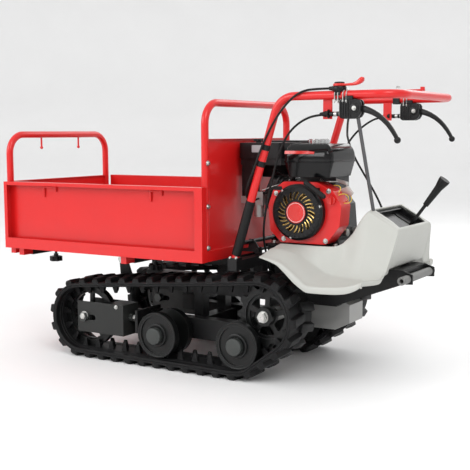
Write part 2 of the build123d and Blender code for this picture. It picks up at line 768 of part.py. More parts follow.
# One side's cross-sections of the cover: X, then inner Y and height, the valley's Y and height,
# and the outer edge's upper and lower heights.
front_sections = [(-304, 160, 440, 231, 428, 414, 409), (-340, 160, 440, 231, 430, 408, 399),
                  (-368, 160, 440, 231, 425, 402, 389), (-396, 160, 440, 225, 415, 388, 365),
                  (-428, 160, 440, 215, 395, 363, 336), (-466, 160, 440, 200, 368, 333, 311),
                  (-500, 160, 440, 195, 353, 333, 311)]
rear_sections = [(-500, 130, 442, 195, 353, 333, 311), (-540, 134, 462, 200, 350, 335, 312),
                 (-580, 138, 505, 205, 349, 337, 314), (-620, 140, 540, 208, 348, 341, 318),
                 (-660, 140, 515, 210, 350, 348, 325), (-700, 140, 488, 205, 362, 361, 345)]


def cover_wing(sections, side, shrink, open_below):
    """One side's wing as ruled lofts; the room inside it is the same shape, shrunk by the wall."""
    faces = []
    last = len(sections) - 1
    for index, (x, inner_y, inner_z, valley_y, valley_z, edge_z, low_z) in enumerate(sections):
        x += shrink * ((index == last) - (index == 0))
        points = [(inner_y - shrink, low_z - open_below), (inner_y - shrink, inner_z - shrink),
                  (valley_y - shrink * 0.5, valley_z - shrink),
                  (fender_outer_y - shrink, edge_z - shrink),
                  (fender_outer_y - shrink, low_z - open_below)]
        wire = Polyline(*[(x, side * y, z) for y, z in points], close=True)
        faces.append(make_face(wire))
    return joined(*[loft(pair, ruled=True) for pair in zip(faces, faces[1:])])


def console_cover():
    """Rotomoulded cover: a wing over each track and the raised console between them."""
    high, low = console_edge
    hump = polygon((-520, 455), (-553, 486), (-572, 521), (high.X, high.Y), (low.X, low.Y),
                   (-700, 466), (-688, 372), (-640, 372), (-560, 440))
    hump_room = offset(hump, -cover_wall)
    wings, rooms = [], []
    for side in (LEFT, RIGHT):
        for sections in (front_sections, rear_sections):
            wings.append(cover_wing(sections, side, 0, 0))
            rooms.append(cover_wing(sections, side, cover_wall, 60))
    body = side_plate(hump, (-console_half, console_half))
    rooms.append(side_plate(hump_room, (-console_half + cover_wall, console_half - cover_wall)))
    rooms.append(block((-760, -300), (-128, 128), (290, 372.5)))
    rooms.append(block((-684, -636), (gear_lever_y - 22, gear_lever_y + 22), (360, 384)))
    rooms.append(sloped((tray_inset, console_run - tray_inset), (-5, 12), (-tray_half, tray_half)))
    return joined(*wings, body) - joined(*rooms)


def console_panel():
    """Black tray under the opening in the console's top, with the gear lever's slot."""
    inset, wall = tray_inset, tray_wall
    run = console_run
    flange = sloped((inset - 8, run - inset + 8), (cover_wall, cover_wall + wall),
                    (-tray_half - 8, tray_half + 8))
    tub = sloped((inset, run - inset), (cover_wall, tray_depth), (-tray_half, tray_half))
    room = sloped((inset + wall, run - inset - wall), (-1, tray_depth - wall),
                  (-tray_half + wall, tray_half - wall))
    slot = sloped((inset + wall, run - inset - wall), (0, tray_depth + 5),
                  (gear_lever_y - 10, gear_lever_y + 10))
    return joined(flange, tub) - room - slot


def gear_lever():
    """Gear lever: steel rod on a pivot eye."""
    x, z = gear_pivot
    knob_x, knob_z = gear_knob
    eye = cross_rod(x, z, (gear_lever_y - 5.7, gear_lever_y + 5.7), 11)
    shaft = rod((x, gear_lever_y, z), (knob_x, gear_lever_y, knob_z), 5.5)
    return (eye + shaft) - cross_rod(x, z, (gear_lever_y - 9, gear_lever_y + 9), 5 + running_fit)


def gear_lever_grip():
    """Tapered rubber grip pushed over the rod, with a flared end."""
    x, z = gear_pivot
    foot, top = Vector(x, gear_lever_y, z), Vector(gear_knob[0], gear_lever_y, gear_knob[1])
    along = (top - foot).normalized()
    low = top - along * 98
    plane = Plane(low, z_dir=along)
    grip = loft([plane * Circle(9), plane * Pos(0, 0, 70) * Circle(12.5)])
    flare = loft([plane * Pos(0, 0, 70) * Circle(12.5), plane * Pos(0, 0, 96) * Circle(18)])
    cap = plane * Pos(0, 0, 96) * extrude(Circle(18), 8)
    return joined(grip, flare, cap) - plane * extrude(Circle(5.5 + running_fit), 98)


def rear_bracket():
    """Rear carrier: two arms off the rails, cross plates and the gear lever's fork."""
    arm_y = rail_y + rail_width / 2
    arm = polygon((-424, 240), (-424, 272), (-480, 284), (-650, 372), (-700, 372), (-734, 360),
                  (-734, 330), (-704, 328), (-476, 240))
    arms = [side_plate(arm, (side * arm_y, side * (arm_y + 6))) for side in (LEFT, RIGHT)]
    shelf = block((-700, -640), (-arm_y - 1, arm_y + 1), (366, 372))
    back = block((-704, -699), (-arm_y - 1, arm_y + 1), (330, 372))
    x, z = gear_pivot
    post = block((x - 12, x + 12), (gear_lever_y - 12, gear_lever_y + 12), (370, z - 14))
    ears = [block((x - 12, x + 12), (gear_lever_y + side * 6, gear_lever_y + side * 12),
                  (z - 16, z + 10)) for side in (1, -1)]
    pin = cross_rod(x, z, (gear_lever_y - 8, gear_lever_y + 8), 5)
    bore = cross_rod(rear_bar_x, rear_bar_z, (-200, 200), rear_bar_radius + running_fit)
    return joined(*arms, shelf, back, post, *ears, pin) - bore


def rear_bar():
    """Grey rubber-covered bar across the rear."""
    return cross_rod(rear_bar_x, rear_bar_z, (-118, 150), rear_bar_radius, 7)


# ---- handlebar ----------------------------------------------------------------------------
def handlebar():
    """Bent tube from foot to foot, with its foot plates and the two cable plates."""
    foot_x, foot_z = bar_foot
    knee_x, knee_z = bar_knee
    route = [(foot_x, bar_y, foot_z), (knee_x, bar_y, knee_z), (bar_rear, bar_y, knee_z),
             (bar_rear, -bar_y, knee_z), (knee_x, -bar_y, knee_z), (foot_x, -bar_y, foot_z)]
    tube = swept(route, [bar_corner] * 4, bar_radius, bar_radius - bar_wall)
    parts = [tube]
    for side in (LEFT, RIGHT):
        y = side * bar_y
        parts.append(block((foot_x - 17, foot_x + 17), (y - 17, y + 17),
                           (outrigger_high, outrigger_high + 9)))
        plate_y = (side * (bar_y - 10), side * (bar_y - 7))
        parts.append(block(cable_bracket_x, plate_y, (837, knee_z - bar_radius + 2.5)))
        web = block(cable_web_x, (side * (bar_y - 9), side * (bar_y + 9)), (840, 866))
        hole = rod((cable_web_x[0] - 1, y, 852), (cable_web_x[1] + 1, y, 852), 7 + running_fit)
        parts.append(web - hole)
    return joined(*parts)


def lever_perch(side):
    """Clutch lever perch: clamp round the tube, slotted body, pivot pin and cable barrel."""
    y = side * bar_y
    tube_z = bar_knee[1]
    x, z = lever_pivot
    body = block(perch_x, (y - 15, y + 15), (tube_z - bar_radius - perch_drop, tube_z - bar_radius))
    body = fillet(body.edges().filter_by(Axis.Y), 7)
    clamp = block((-600, -574), (y - 18, y + 18), (tube_z - bar_radius - 4, tube_z + bar_radius + 4))
    slot = block((perch_x[0] - 1, x + 20), (y - 5, y + 5), (z - 28, z + 24))
    pin = cross_rod(x, z, (y - 14, y + 14), 4)
    barrel = rod((perch_x[1] - 2, y, 852), (cable_web_x[1] + 4, y, 852), 7)
    tube = rod((-700, y, tube_z), (-500, y, tube_z), bar_radius + running_fit)
    cable = rod((perch_x[1] - 1, y, 852), (-400, y, 852), cable_radius + running_fit)
    loop_room = rod((-700, y, tube_z), (-500, y, tube_z), bar_radius + 3.3)
    return joined(body - slot - loop_room, clamp, pin, barrel) - tube - cable


def u_bolt(x):
    """Clamp ring round the left handlebar tube."""
    z = bar_knee[1]
    return rod((x - 2, bar_y, z), (x + 2, bar_y, z), bar_radius + 3, bar_radius + running_fit)


def clutch_lever(side):
    """Curved steering clutch lever with a ball end."""
    y = side * bar_y
    x, z = lever_pivot
    tip_x, tip_z = lever_tip
    eye = cross_rod(x, z, (y - 4.7, y + 4.7), 10)
    neck = block((x - 34, x), (y - 4.7, y + 4.7), (z - 9, z + 6))
    route = [(x - 28, y, z - 3), (-672, y, 852), (-714, y, 814), (tip_x, y, tip_z)]
    arm = swept(route, [60, 60], 6.5)
    ball = Pos(tip_x, y, tip_z) * Sphere(10)
    return joined(neck, eye, arm, ball) - cross_rod(x, z, (y - 9, y + 9), 4 + running_fit)


def throttle_housing():
    """Throttle lever's base, clamped on top of the left tube."""
    top = bar_knee[1] + bar_radius
    disc = Pos(throttle_x, bar_y, top - 2) * extrude(Circle(throttle_radius), 15)
    clamp = block((throttle_x - 3, throttle_x + 14), (bar_y - 17, bar_y + 17),
                  (bar_knee[1] - bar_radius - 3, top))
    spout = rod((throttle_x + 12, bar_y, top + 7), (throttle_x + 32, bar_y, top + 7), 6)
    cable = rod((throttle_x + 22, bar_y, top + 7), (throttle_x + 60, bar_y, top + 7),
                cable_radius + running_fit)
    tube = rod((-700, bar_y, bar_knee[1]), (-400, bar_y, bar_knee[1]), bar_radius + running_fit)
    return joined(disc, clamp, spout) - tube - cable


def throttle_lever():
    """Red thumb lever that turns on the throttle housing, with a turned-up finger."""
    low = bar_knee[1] + bar_radius + 13.3
    disc = Pos(throttle_x, bar_y, low) * extrude(Circle(throttle_radius - 3), 6)
    arm = side_plate(polygon((throttle_x, low), (-600, low), (-622, low + 10), (-626, low + 26),
                             (-616, low + 26), (-606, low + 12), (-592, low + 6),
                             (throttle_x, low + 6)), (bar_y - 8, bar_y + 8))
    return disc + arm


def drive_lever_base():
    """Pivot block of the drive lever, clamped on the right tube."""
    z = bar_knee[1]
    shape = block((-554, -530), (-bar_y - 17, -bar_y + 17), (z - bar_radius - 3, z + bar_radius + 14))
    tube = rod((-700, -bar_y, z), (-400, -bar_y, z), bar_radius + running_fit)
    return shape - tube


def drive_lever():
    """Flat red lever on the right tube that engages the drive."""
    low = bar_knee[1] + bar_radius + 14.3
    rear, front = drive_lever_x
    plan = polygon((front, -bar_y - 12), (-590, -bar_y - 9), (rear, -bar_y - 7),
                   (rear, -bar_y + 7), (-590, -bar_y + 9), (front, -bar_y + 12))
    plate = Pos(0, 0, low) * extrude(fillet(plan.vertices(), 5), 6)
    finger = block((rear + 2, rear + 14), (-bar_y - 6, -bar_y + 6), (low, low + 14))
    return plate + finger


cable_radius = 3.5


def cable(points):
    """A held control cable: straight runs joined by the largest tangent arcs they allow."""
    corners = [Vector(*point) for point in points]
    radii = []
    for before, at, after in zip(corners, corners[1:], corners[2:]):
        turn = math.radians((at - before).get_angle(after - at))
        shorter = min((at - before).length, (after - at).length)
        radii.append(0.45 * shorter / math.tan(turn / 2))
    whole = swept(points, radii, cable_radius)
    print("cable radii", [round(radius) for radius in radii], "volume", round(whole.volume))
    return whole


throttle_route = [(-526, 245, 928), (-480, 245, 928), (-438, 260, 924), (-400, 266, 902),
                  (-356, 267, 856), (-316, 265, 795), (-286, 263, 737), (-264, 263, 680),
                  (-240, 262, 632), (-222, 240, 596), (-212, 200, 579), (-200, 152, 574),
                  (-190, 104.9, 578)]
left_clutch_route = [(-556, 245, 852), (-478, 245, 852), (-420, 241, 833), (-372, 235, 796),
                     (-340, 230, 742), (-318, 227, 680), (-300, 224, 615), (-282, 216, 555),
                     (-266, 202, 500), (-252, 178, 450), (-245, 148, 400), (-243, 120, 350),
                     (-244, 112, 301)]
right_clutch_route = [(-556, -245, 852), (-478, -245, 852), (-426, -240, 827), (-384, -226, 786),
                      (-356, -210, 732), (-338, -198, 672), (-320, -190, 610), (-300, -184, 552),
                      (-280, -176, 498), (-262, -162, 448), (-250, -142, 400), (-244, -120, 350),
                      (-244, -112, 301)]
drive_cable_route = [(-590, 227.5, 866), (-560, 192, 852), (-532, 142, 834), (-504, 84, 816),
                     (-476, 24, 798), (-450, -34, 784), (-438, -82, 752), (-448, -104, 708),
                     (-470, -112, 668), (-496, -112, 628), (-522, -110, 588), (-544, -108, 548),
                     (-562, -106, 508)]


def control_cables():
    return [cable(route) for route in
            (throttle_route, left_clutch_route, right_clutch_route, drive_cable_route)]


def stay_rod():
    """Slanting stay between the left perch and the console."""
    return rod((-600, 224, 850), (-612, 124, 556.3), 5.5)


# ---- load bed -----------------------------------------------------------------------------
def bed_floor():
    """Load bed's floor sheet, its front beam and the two sockets for the front gate's arms."""
    rear = rear_hoop_x + sill_front
    floor = block((rear, gate_socket_front), (-294.5, 294.5), (floor_low, floor_low + 3))
    stiffener = block((rear, front_beam[0]), (-16, 16), (floor_low - 5, floor_low))
    beam = block(front_beam, (-front_beam_half, front_beam_half), (floor_low - 22, floor_low))
    sockets, bores = [], []
    for side in (LEFT, RIGHT):
        y = side * gate_arm_y
        sockets.append(block((gate_socket_rear, gate_socket_front), (y - 11, y + 11),
                             (floor_low - 22, floor_low + 0.5)))
        bores.append(block((gate_socket_rear - 1, gate_socket_front + 1), (y - 9, y + 9),
                           (floor_low - 20, floor_low - 2)))
    return joined(floor, stiffener, beam, *sockets) - joined(*bores)


def bed_subframe():
    """Frame under the floor: two rails, the side panels' sockets and the pivot eyes."""
    parts, holes = [], []
    outer = socket_size + 2 * socket_wall
    for side in (LEFT, RIGHT):
        y = side * subrail_y
        half = subrail_width / 2
        parts.append(block((-95, front_beam[0]), (y - half, y + half), (subrail_low, floor_low)))
        holes.append(block((-90, front_beam[0] - 5), (y - half + 3, y + half - 3),
                           (subrail_low + 3, floor_low - 3)))
        for x in socket_x:
            parts.append(block((x - outer / 2, x + outer / 2), (y, side * socket_to_y),
                               (floor_low - outer, floor_low)))
            holes.append(block((x - socket_size / 2, x + socket_size / 2),
                               (side * (socket_from_y + 2), side * (socket_to_y + 1)),
                               (floor_low - outer + socket_wall, floor_low - socket_wall)))
            holes.append(rod((x, side * knob_y, 340), (x, side * knob_y, 360), 5 + running_fit))
        eye = cross_rod(pivot_x, pivot_z, (y - half, y + half), 16)
        web = block((pivot_x - 16, pivot_x + 16), (y - half, y + half), (pivot_z, subrail_low + 2))
        parts += [eye, web]
    for x in (-60, 300, 560):
        parts.append(block((x - 12, x + 12), (-subrail_y + 12, subrail_y - 12),
                           (subrail_low + 5, floor_low - 5.5)))
    bore = cross_rod(pivot_x, pivot_z, (-200, 200), pivot_radius + running_fit)
    return joined(*parts) - joined(*holes) - bore


def headboard():
    """Rear wall of the bed: hoop tube, sheet with a folded top and a box sill."""
    x = rear_hoop_x
    low = floor_low
    route = [(x, -hoop_y, low), (x, -hoop_y, rear_hoop_top), (x, hoop_y, rear_hoop_top),
             (x, hoop_y, low)]
    hoop = swept(route, [hoop_corner] * 2, hoop_tube, hoop_tube - hoop_wall)
    wall = block((x - 1, x + 1), (-hoop_y, hoop_y), (low, headboard_top))
    inner = swept(route, [hoop_corner] * 2, hoop_tube - hoop_wall / 2)
    fold = block((x - 9, x + 9), (-hoop_y + 6, hoop_y - 6), (headboard_top - 2, headboard_top))
    sill = block((x - 14, x + sill_front), (-291, 291), (low, low + 35))
    sill_room = block((x - 12, x + sill_front - 2), (-289, 289), (low + 2, low + 33))
    sheet_part = (wall + fold) - inner
    return joined(hoop, sheet_part, sill - sill_room)


def side_panel():
    """Left side panel: sheet with four outward flanges, rope hooks and its two slide arms."""
    inner, outer = panel_inner_y, panel_outer_y
    low = floor_low + panel_lift
    parts = [block((bed_rear, bed_front), (inner, inner + sheet), (low, panel_top))]
    for z0, rim in ((panel_top - sheet, -panel_rim_top), (low, panel_rim_low)):
        edge = panel_top if rim < 0 else low
        parts.append(block((bed_rear, bed_front), (inner, outer), (z0, z0 + sheet)))
        parts.append(block((bed_rear, bed_front), (outer - sheet, outer), (edge, edge + rim)))
    for x, rim in ((bed_rear, panel_rim_end), (bed_front, -panel_rim_end / 2)):
        parts.append(block((x, x + math.copysign(sheet, rim)), (inner, outer), (low, panel_top)))
        parts.append(block((x, x + rim), (outer - sheet, outer), (low, panel_top)))
    hook_y = inner + sheet + rope_hook_radius - 0.5
    for first, second in (rope_hook_x[:2], rope_hook_x[2:]):
        high = panel_top - 16
        parts.append(rod((first, hook_y, high - 16), (first, hook_y, high), rope_hook_radius))
        parts.append(rod((second, hook_y, high - 36), (second, hook_y, high), rope_hook_radius))
        parts.append(rod((first, hook_y, high), (second, hook_y, high), rope_hook_radius))
        parts += [Pos(x, hook_y, high) * Sphere(rope_hook_radius) for x in (first, second)]
    size = socket_size - 2 * arm_slack
    arm_low = floor_low - socket_wall - socket_size + arm_slack
    for x in socket_x:
        parts.append(block((x - size / 2, x + size / 2), (arm_end_y, inner + 13),
                           (arm_low, arm_low + size)))
        parts.append(block((x - size / 2, x + size / 2), (inner + 1, inner + 13),
                           (arm_low, low + sheet)))
    return joined(*parts)


def front_gate():
    """Front gate: hoop, folded sheet, two hanging pins and the two slide arms."""
    x = gate_x
    low = floor_low + 4
    route = [(x, -hoop_y, low), (x, -hoop_y, front_hoop_top), (x, hoop_y, front_hoop_top),
             (x, hoop_y, low)]
    hoop = swept(route, [hoop_corner] * 2, hoop_tube, hoop_tube - hoop_wall)
    inner = swept(route, [hoop_corner] * 2, hoop_tube - hoop_wall / 2)
    wall = block((x - 1, x + 1), (-gate_half, gate_half), (floor_low + 4, panel_top))
    folds = [block((x - 9, x + 9), (-gate_half, gate_half), (z, z + sheet))
             for z in (floor_low + 4, panel_top - sheet)]
    parts = [hoop, joined(wall, *folds) - inner]
    for side in (LEFT, RIGHT):
        y = side * gate_pin_y
        parts.append(rod((x, y, front_hoop_top - hoop_tube + 1),
                         (x, y, front_hoop_top - gate_pin_length), 3.5))
        parts.append(Pos(x, y, front_hoop_top - gate_pin_length - 2) * Sphere(6))
        arm_y = side * gate_arm_y
        parts.append(block((gate_socket_rear + 4, x + 6), (arm_y - 8.5, arm_y + 8.5),
                           (floor_low - 19.5, floor_low - 2.5)))
        parts.append(block((x - 6, x + 6), (arm_y - 8.5, arm_y + 8.5),
                           (floor_low - 19.5, floor_low + 8)))
    return joined(*parts)


def pivot_pin():
    """Hinge pin of the load bed, headed at both ends."""
    face = rail_y + rail_width / 2 + 8
    pin = cross_rod(pivot_x, pivot_z, (-face, face), pivot_radius)
    heads = [hexagon_head(pivot_x, pivot_z, (side * face, side * (face + 9)), 30)
             for side in (LEFT, RIGHT)]
    return joined(pin, *heads)


def bed_pads():
    """Rubber rests under the bed's rails."""
    return [block((pad_x - 18, pad_x + 18), (side * (rail_y - 13), side * (rail_y + 13)),
                  (subrail_low - pad_height, subrail_low - 0.3)) for side in (LEFT, RIGHT)]


def clamp_knob(x, side):
    """Screw knob that clamps a side panel's arm in its socket."""
    y = side * knob_y
    arm_low = floor_low - socket_wall - socket_size + arm_slack
    stem = rod((x, y, knob_stem_low), (x, y, arm_low - 0.2), 5)
    neck = rod((x, y, knob_stem_low - 4), (x, y, knob_stem_low + 10), 9)
    disc = Pos(x, y, knob_low) * extrude(Circle(knob_radius), knob_stem_low - knob_low)
    for index in range(6):
        disc -= Pos(x, y, knob_low - 1) * Rot(0, 0, 60 * index) * Pos(knob_radius + 5, 0, 0) \
            * extrude(Circle(9), 30)
    return joined(stem, neck, disc)


def bed_latch():
    """Bed latch: cross bar on two arms that hook forward towards the sill."""
    x, z = -182, 404
    arm = polygon((x - 8, z - 8), (-122, z - 8), (-122, z + 2), (-148, z + 6), (-152, z + 36),
                  (-168, z + 36), (x - 8, z + 8))
    arms = [side_plate(arm, pair) for pair in ((96, 101), (-64, -59))]
    bar = cross_rod(-160, 432, (-66, 150), 7)
    pin = cross_rod(x, z, (-72, 104), 5)
    return joined(*arms, bar, pin)


def latch_lugs():
    x, z = -182, 404
    lugs = [block((x - 12, x + 12), pair, (outrigger_high - 1, z + 10))
            for pair in ((88, 94), (-72, -66))]
    return joined(*lugs) - cross_rod(x, z, (-200, 200), 5 + running_fit)


# ---- write every node ---------------------------------------------------------------------
for side, name in ((LEFT, "left"), (RIGHT, "right")):
    save(f"track_belt_{name}", on_side(track_belt(), side))
    save(f"track_frame_{name}", on_side(track_frame(), side))
    save(f"tension_box_{name}", on_side(tension_box(), side))
    save(f"sprocket_{name}", on_side(sprocket(), side))
    save(f"half_shaft_{name}", on_side(half_shaft(), side))
    save(f"idler_{name}", on_side(idler(), side))
    save(f"roller_front_{name}", on_side(roller("front"), side))
    save(f"roller_rear_{name}", on_side(roller("rear"), side))
    save(f"clutch_lever_{name}", clutch_lever(side))
    save(f"side_panel_{name}", on_side(side_panel(), side))

running_gear = [idler_axle(), roller_axle("front"), roller_axle("rear"), track_adjuster()]
save("running_gear_axles", *[half for piece in running_gear for half in both_sides(piece)])
save("chassis_frame", joined(chassis_frame(), latch_lugs(), engine_deck()))
save("gearbox", gearbox())
save("gearbox_pulley", pulley(input_x, input_z, gearbox_pulley_radius, -14))
save("engine_pulley", pulley(crank_x, crank_z, engine_pulley_radius, block_y[0] + 36))
save("drive_belt", drive_belt())
save("belt_guard", belt_guard())
save("engine_block", engine_block())
save("fan_cover", fan_cover())
save("recoil_cover", recoil_cover())
save("starter_grip", starter_grip())
save("fuel_tank", fuel_tank())
save("fuel_cap", fuel_cap())
save("air_cleaner", air_cleaner())
save("muffler", muffler())
save("muffler_guard", muffler_guard())
save("carburettor", carburettor())
save("oil_plugs", *oil_plugs())
save("engine_switch", engine_switch())
save("console_cover", console_cover())
save("console_panel", console_panel())
save("gear_lever", gear_lever())
save("gear_lever_grip", gear_lever_grip())
save("rear_bracket", rear_bracket())
save("rear_bar", rear_bar())
save("handlebar", handlebar())
save("lever_perches", lever_perch(LEFT), lever_perch(RIGHT), drive_lever_base(),
     *[u_bolt(x) for x in (-484, -606, -618)])
save("throttle_housing", throttle_housing())
save("throttle_lever", throttle_lever())
save("drive_lever", drive_lever())
save("control_cables", *control_cables())
save("stay_rod", stay_rod())
save("bed_floor", bed_floor())
save("bed_subframe", bed_subframe())
save("headboard", headboard())
save("front_gate", front_gate())
save("pivot_pin", pivot_pin())
save("bed_pads", *bed_pads())
save("clamp_knobs", *[clamp_knob(x, side) for x in socket_x for side in (LEFT, RIGHT)])
save("bed_latch", bed_latch())
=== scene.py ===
import math

import bmesh
import bpy
from mathutils import Matrix, Vector


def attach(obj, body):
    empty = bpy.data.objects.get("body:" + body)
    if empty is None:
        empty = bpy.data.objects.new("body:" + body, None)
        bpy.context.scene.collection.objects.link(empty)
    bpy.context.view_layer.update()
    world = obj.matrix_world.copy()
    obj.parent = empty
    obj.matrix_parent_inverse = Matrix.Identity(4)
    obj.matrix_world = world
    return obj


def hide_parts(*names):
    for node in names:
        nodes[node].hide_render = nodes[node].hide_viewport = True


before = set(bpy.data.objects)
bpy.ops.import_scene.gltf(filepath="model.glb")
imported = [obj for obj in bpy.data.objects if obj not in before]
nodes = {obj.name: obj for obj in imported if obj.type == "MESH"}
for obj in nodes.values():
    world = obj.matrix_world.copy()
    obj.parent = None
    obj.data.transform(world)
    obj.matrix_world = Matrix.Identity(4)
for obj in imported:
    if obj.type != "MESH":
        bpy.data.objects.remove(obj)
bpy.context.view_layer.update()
SIDES = (("left", 1), ("right", -1))
MACHINE = "machine"


# ---- camera, floor and light ---------------------------------------------------------------
CAMERA_PLACE = (-1.729, 2.775, 0.796)
CAMERA_TURN = (-58.581, 6.303, -0.249)      # yaw, pitch downwards and roll, in degrees
FLOOR_PROFILE = [(0.0, 0.0), (9.0, 0.0), (11.0, 0.3), (12.5, 1.3), (13.2, 3.0), (13.4, 9.0)]


def add_camera():
    """One camera fitted to the view that the object is shown from."""
    yaw, pitch, roll = (math.radians(v) for v in CAMERA_TURN)
    forward = Vector((math.cos(yaw) * math.cos(pitch), math.sin(yaw) * math.cos(pitch),
                      -math.sin(pitch)))
    level_right = forward.cross(Vector((0, 0, 1))).normalized()
    level_up = level_right.cross(forward)
    right = level_right * math.cos(roll) + level_up * math.sin(roll)
    up = level_up * math.cos(roll) - level_right * math.sin(roll)
    data = bpy.data.cameras.new("camera")
    data.sensor_width = 36.0
    data.lens = 70.59
    data.clip_end = 100.0
    camera = bpy.data.objects.new("camera", data)
    bpy.context.scene.collection.objects.link(camera)
    turn = Matrix((right, up, -forward)).transposed().to_4x4()
    camera.matrix_world = Matrix.Translation(CAMERA_PLACE) @ turn
    bpy.context.scene.camera = camera


def add_floor():
    """A pale floor that curves up into a backdrop on every side."""
    mesh = bpy.data.meshes.new("floor")
    form = bmesh.new()
    add_lathe(form, (0, 0, 0), (0, 0, 1), FLOOR_PROFILE, 64)
    bmesh.ops.reverse_faces(form, faces=form.faces)
    form.to_mesh(mesh)
    form.free()
    for face in mesh.polygons:
        face.use_smooth = True
    floor = bpy.data.objects.new("floor", mesh)
    bpy.context.scene.collection.objects.link(floor)
    floor.data.materials.append(plain_material("floor_white", (0.86, 0.86, 0.86), 0.75))


def add_light(name, spot, target, size, power):
    data = bpy.data.lights.new(name, "AREA")
    data.shape = "RECTANGLE"
    data.size, data.size_y = size
    data.energy = power
    light = bpy.data.objects.new(name, data)
    bpy.context.scene.collection.objects.link(light)
    light.location = spot
    aim = Vector(target) - Vector(spot)
    light.rotation_euler = aim.to_track_quat("-Z", "Y").to_euler()


def add_world():
    world = bpy.data.worlds.new("studio")
    world.use_nodes = True
    world.node_tree.nodes["Background"].inputs["Color"].default_value = (1.0, 1.0, 1.0, 1.0)
    world.node_tree.nodes["Background"].inputs["Strength"].default_value = 1.0
    bpy.context.scene.world = world
    bpy.context.scene.view_settings.view_transform = "Standard"


# ---- materials -----------------------------------------------------------------------------
def plain_material(name, colour, rough):
    """A slightly mottled matte surface."""
    return finish(name, colour, rough, mottle=0.03, mottle_scale=1.5, grain_scale=30.0,
                  grain=0.02)


def finish(name, colour, rough, metal=0.0, coat=0.0, coat_rough=0.05, mottle=0.12,
           mottle_scale=9.0, grain_scale=900.0, grain=0.05, rough_spread=0.08,
           edge=None, edge_size=0.0014, dust=None, specular=0.5):
    """A procedural material at real scale: mottled colour, uneven gloss, grain, painted edge
    highlight and wear.
    """
    material = bpy.data.materials.new(name)
    material.use_nodes = True
    tree = material.node_tree
    shader = tree.nodes["Principled BSDF"]
    shader.inputs["Metallic"].default_value = metal
    shader.inputs["Coat Weight"].default_value = coat
    shader.inputs["Coat Roughness"].default_value = coat_rough
    shader.inputs["Specular IOR Level"].default_value = specular

    def node(kind, **inputs):
        made = tree.nodes.new(kind)
        for key, value in inputs.items():
            made.inputs[key].default_value = value
        return made

    def link(a, out, b, into):
        tree.links.new(a.outputs[out], b.inputs[into])

    def blend(a, out, colour, factor):
        """Mixes a second colour over a node's colour."""
        made = tree.nodes.new("ShaderNodeMix")
        made.data_type = "RGBA"
        made.inputs["B"].default_value = (*colour, 1.0)
        link(a, out, made, "A")
        link(factor, "Result", made, "Factor")
        return made

    def ranged(source, out, **ends):
        """Maps a node's value to another range."""
        made = tree.nodes.new("ShaderNodeMapRange")
        for key, value in ends.items():
            made.inputs[key.replace("_", " ").title()].default_value = value
        link(source, out, made, "Value")
        return made

    where = node("ShaderNodeTexCoord")
    patches = node("ShaderNodeTexNoise", Scale=mottle_scale, Detail=5.0, Roughness=0.6)
    link(where, "Object", patches, "Vector")
    tint = tree.nodes.new("ShaderNodeMix")
    tint.data_type = "RGBA"
    low = [max(0.0, c * (1.0 - mottle)) for c in colour]
    high = [min(1.0, c * (1.0 + mottle)) for c in colour]
    tint.inputs["A"].default_value = (*low, 1.0)
    tint.inputs["B"].default_value = (*high, 1.0)
    link(patches, "Fac", tint, "Factor")
    result = tint
    if dust:
        dust_colour, dust_amount = dust
        specks = node("ShaderNodeTexNoise", Scale=38.0, Detail=8.0, Roughness=0.7)
        link(where, "Object", specks, "Vector")
        cover = ranged(specks, "Fac", from_min=0.5, from_max=0.8, to_max=dust_amount)
        result = blend(result, "Result", dust_colour, cover)
    rounded = node("ShaderNodeBevel", Radius=edge_size)
    rounded.samples = 4
    # Edges get a lighter colour: a painted edge highlight, in part also edge wear.
    if edge:
        edge_colour, edge_amount = edge
        wide = node("ShaderNodeBevel", Radius=edge_size * 1.6)
        wide.samples = 4
        flat = node("ShaderNodeNewGeometry")
        dot = tree.nodes.new("ShaderNodeVectorMath")
        dot.operation = "DOT_PRODUCT"
        link(wide, "Normal", dot, 0)
        link(flat, "Normal", dot, 1)
        edge_highlight_and_wear = ranged(dot, "Value", from_min=0.97, from_max=0.80, to_max=edge_amount)
        result = blend(result, "Result", edge_colour, edge_highlight_and_wear)
    link(result, "Result", shader, "Base Color")
    smear = node("ShaderNodeTexNoise", Scale=mottle_scale * 4.0, Detail=4.0)
    link(where, "Object", smear, "Vector")
    gloss = ranged(smear, "Fac", to_min=max(0.02, rough - rough_spread),
                   to_max=min(1.0, rough + rough_spread))
    link(gloss, "Result", shader, "Roughness")
    fine = node("ShaderNodeTexNoise", Scale=grain_scale, Detail=2.0)
    link(where, "Object", fine, "Vector")
    bump = node("ShaderNodeBump", Strength=grain, Distance=0.001)
    link(fine, "Fac", bump, "Height")
    link(rounded, "Normal", bump, "Normal")
    link(bump, "Normal", shader, "Normal")
    return material


RED = (0.60, 0.009, 0.009)
BLACK = (0.006, 0.006, 0.0065)
# GREY_EDGE and the other edge colours in the looks below are lighter than their surfaces: painted
# edge highlight, in part wear.
GREY_EDGE = (0.05, 0.05, 0.05)
DUST = (0.06, 0.057, 0.053)

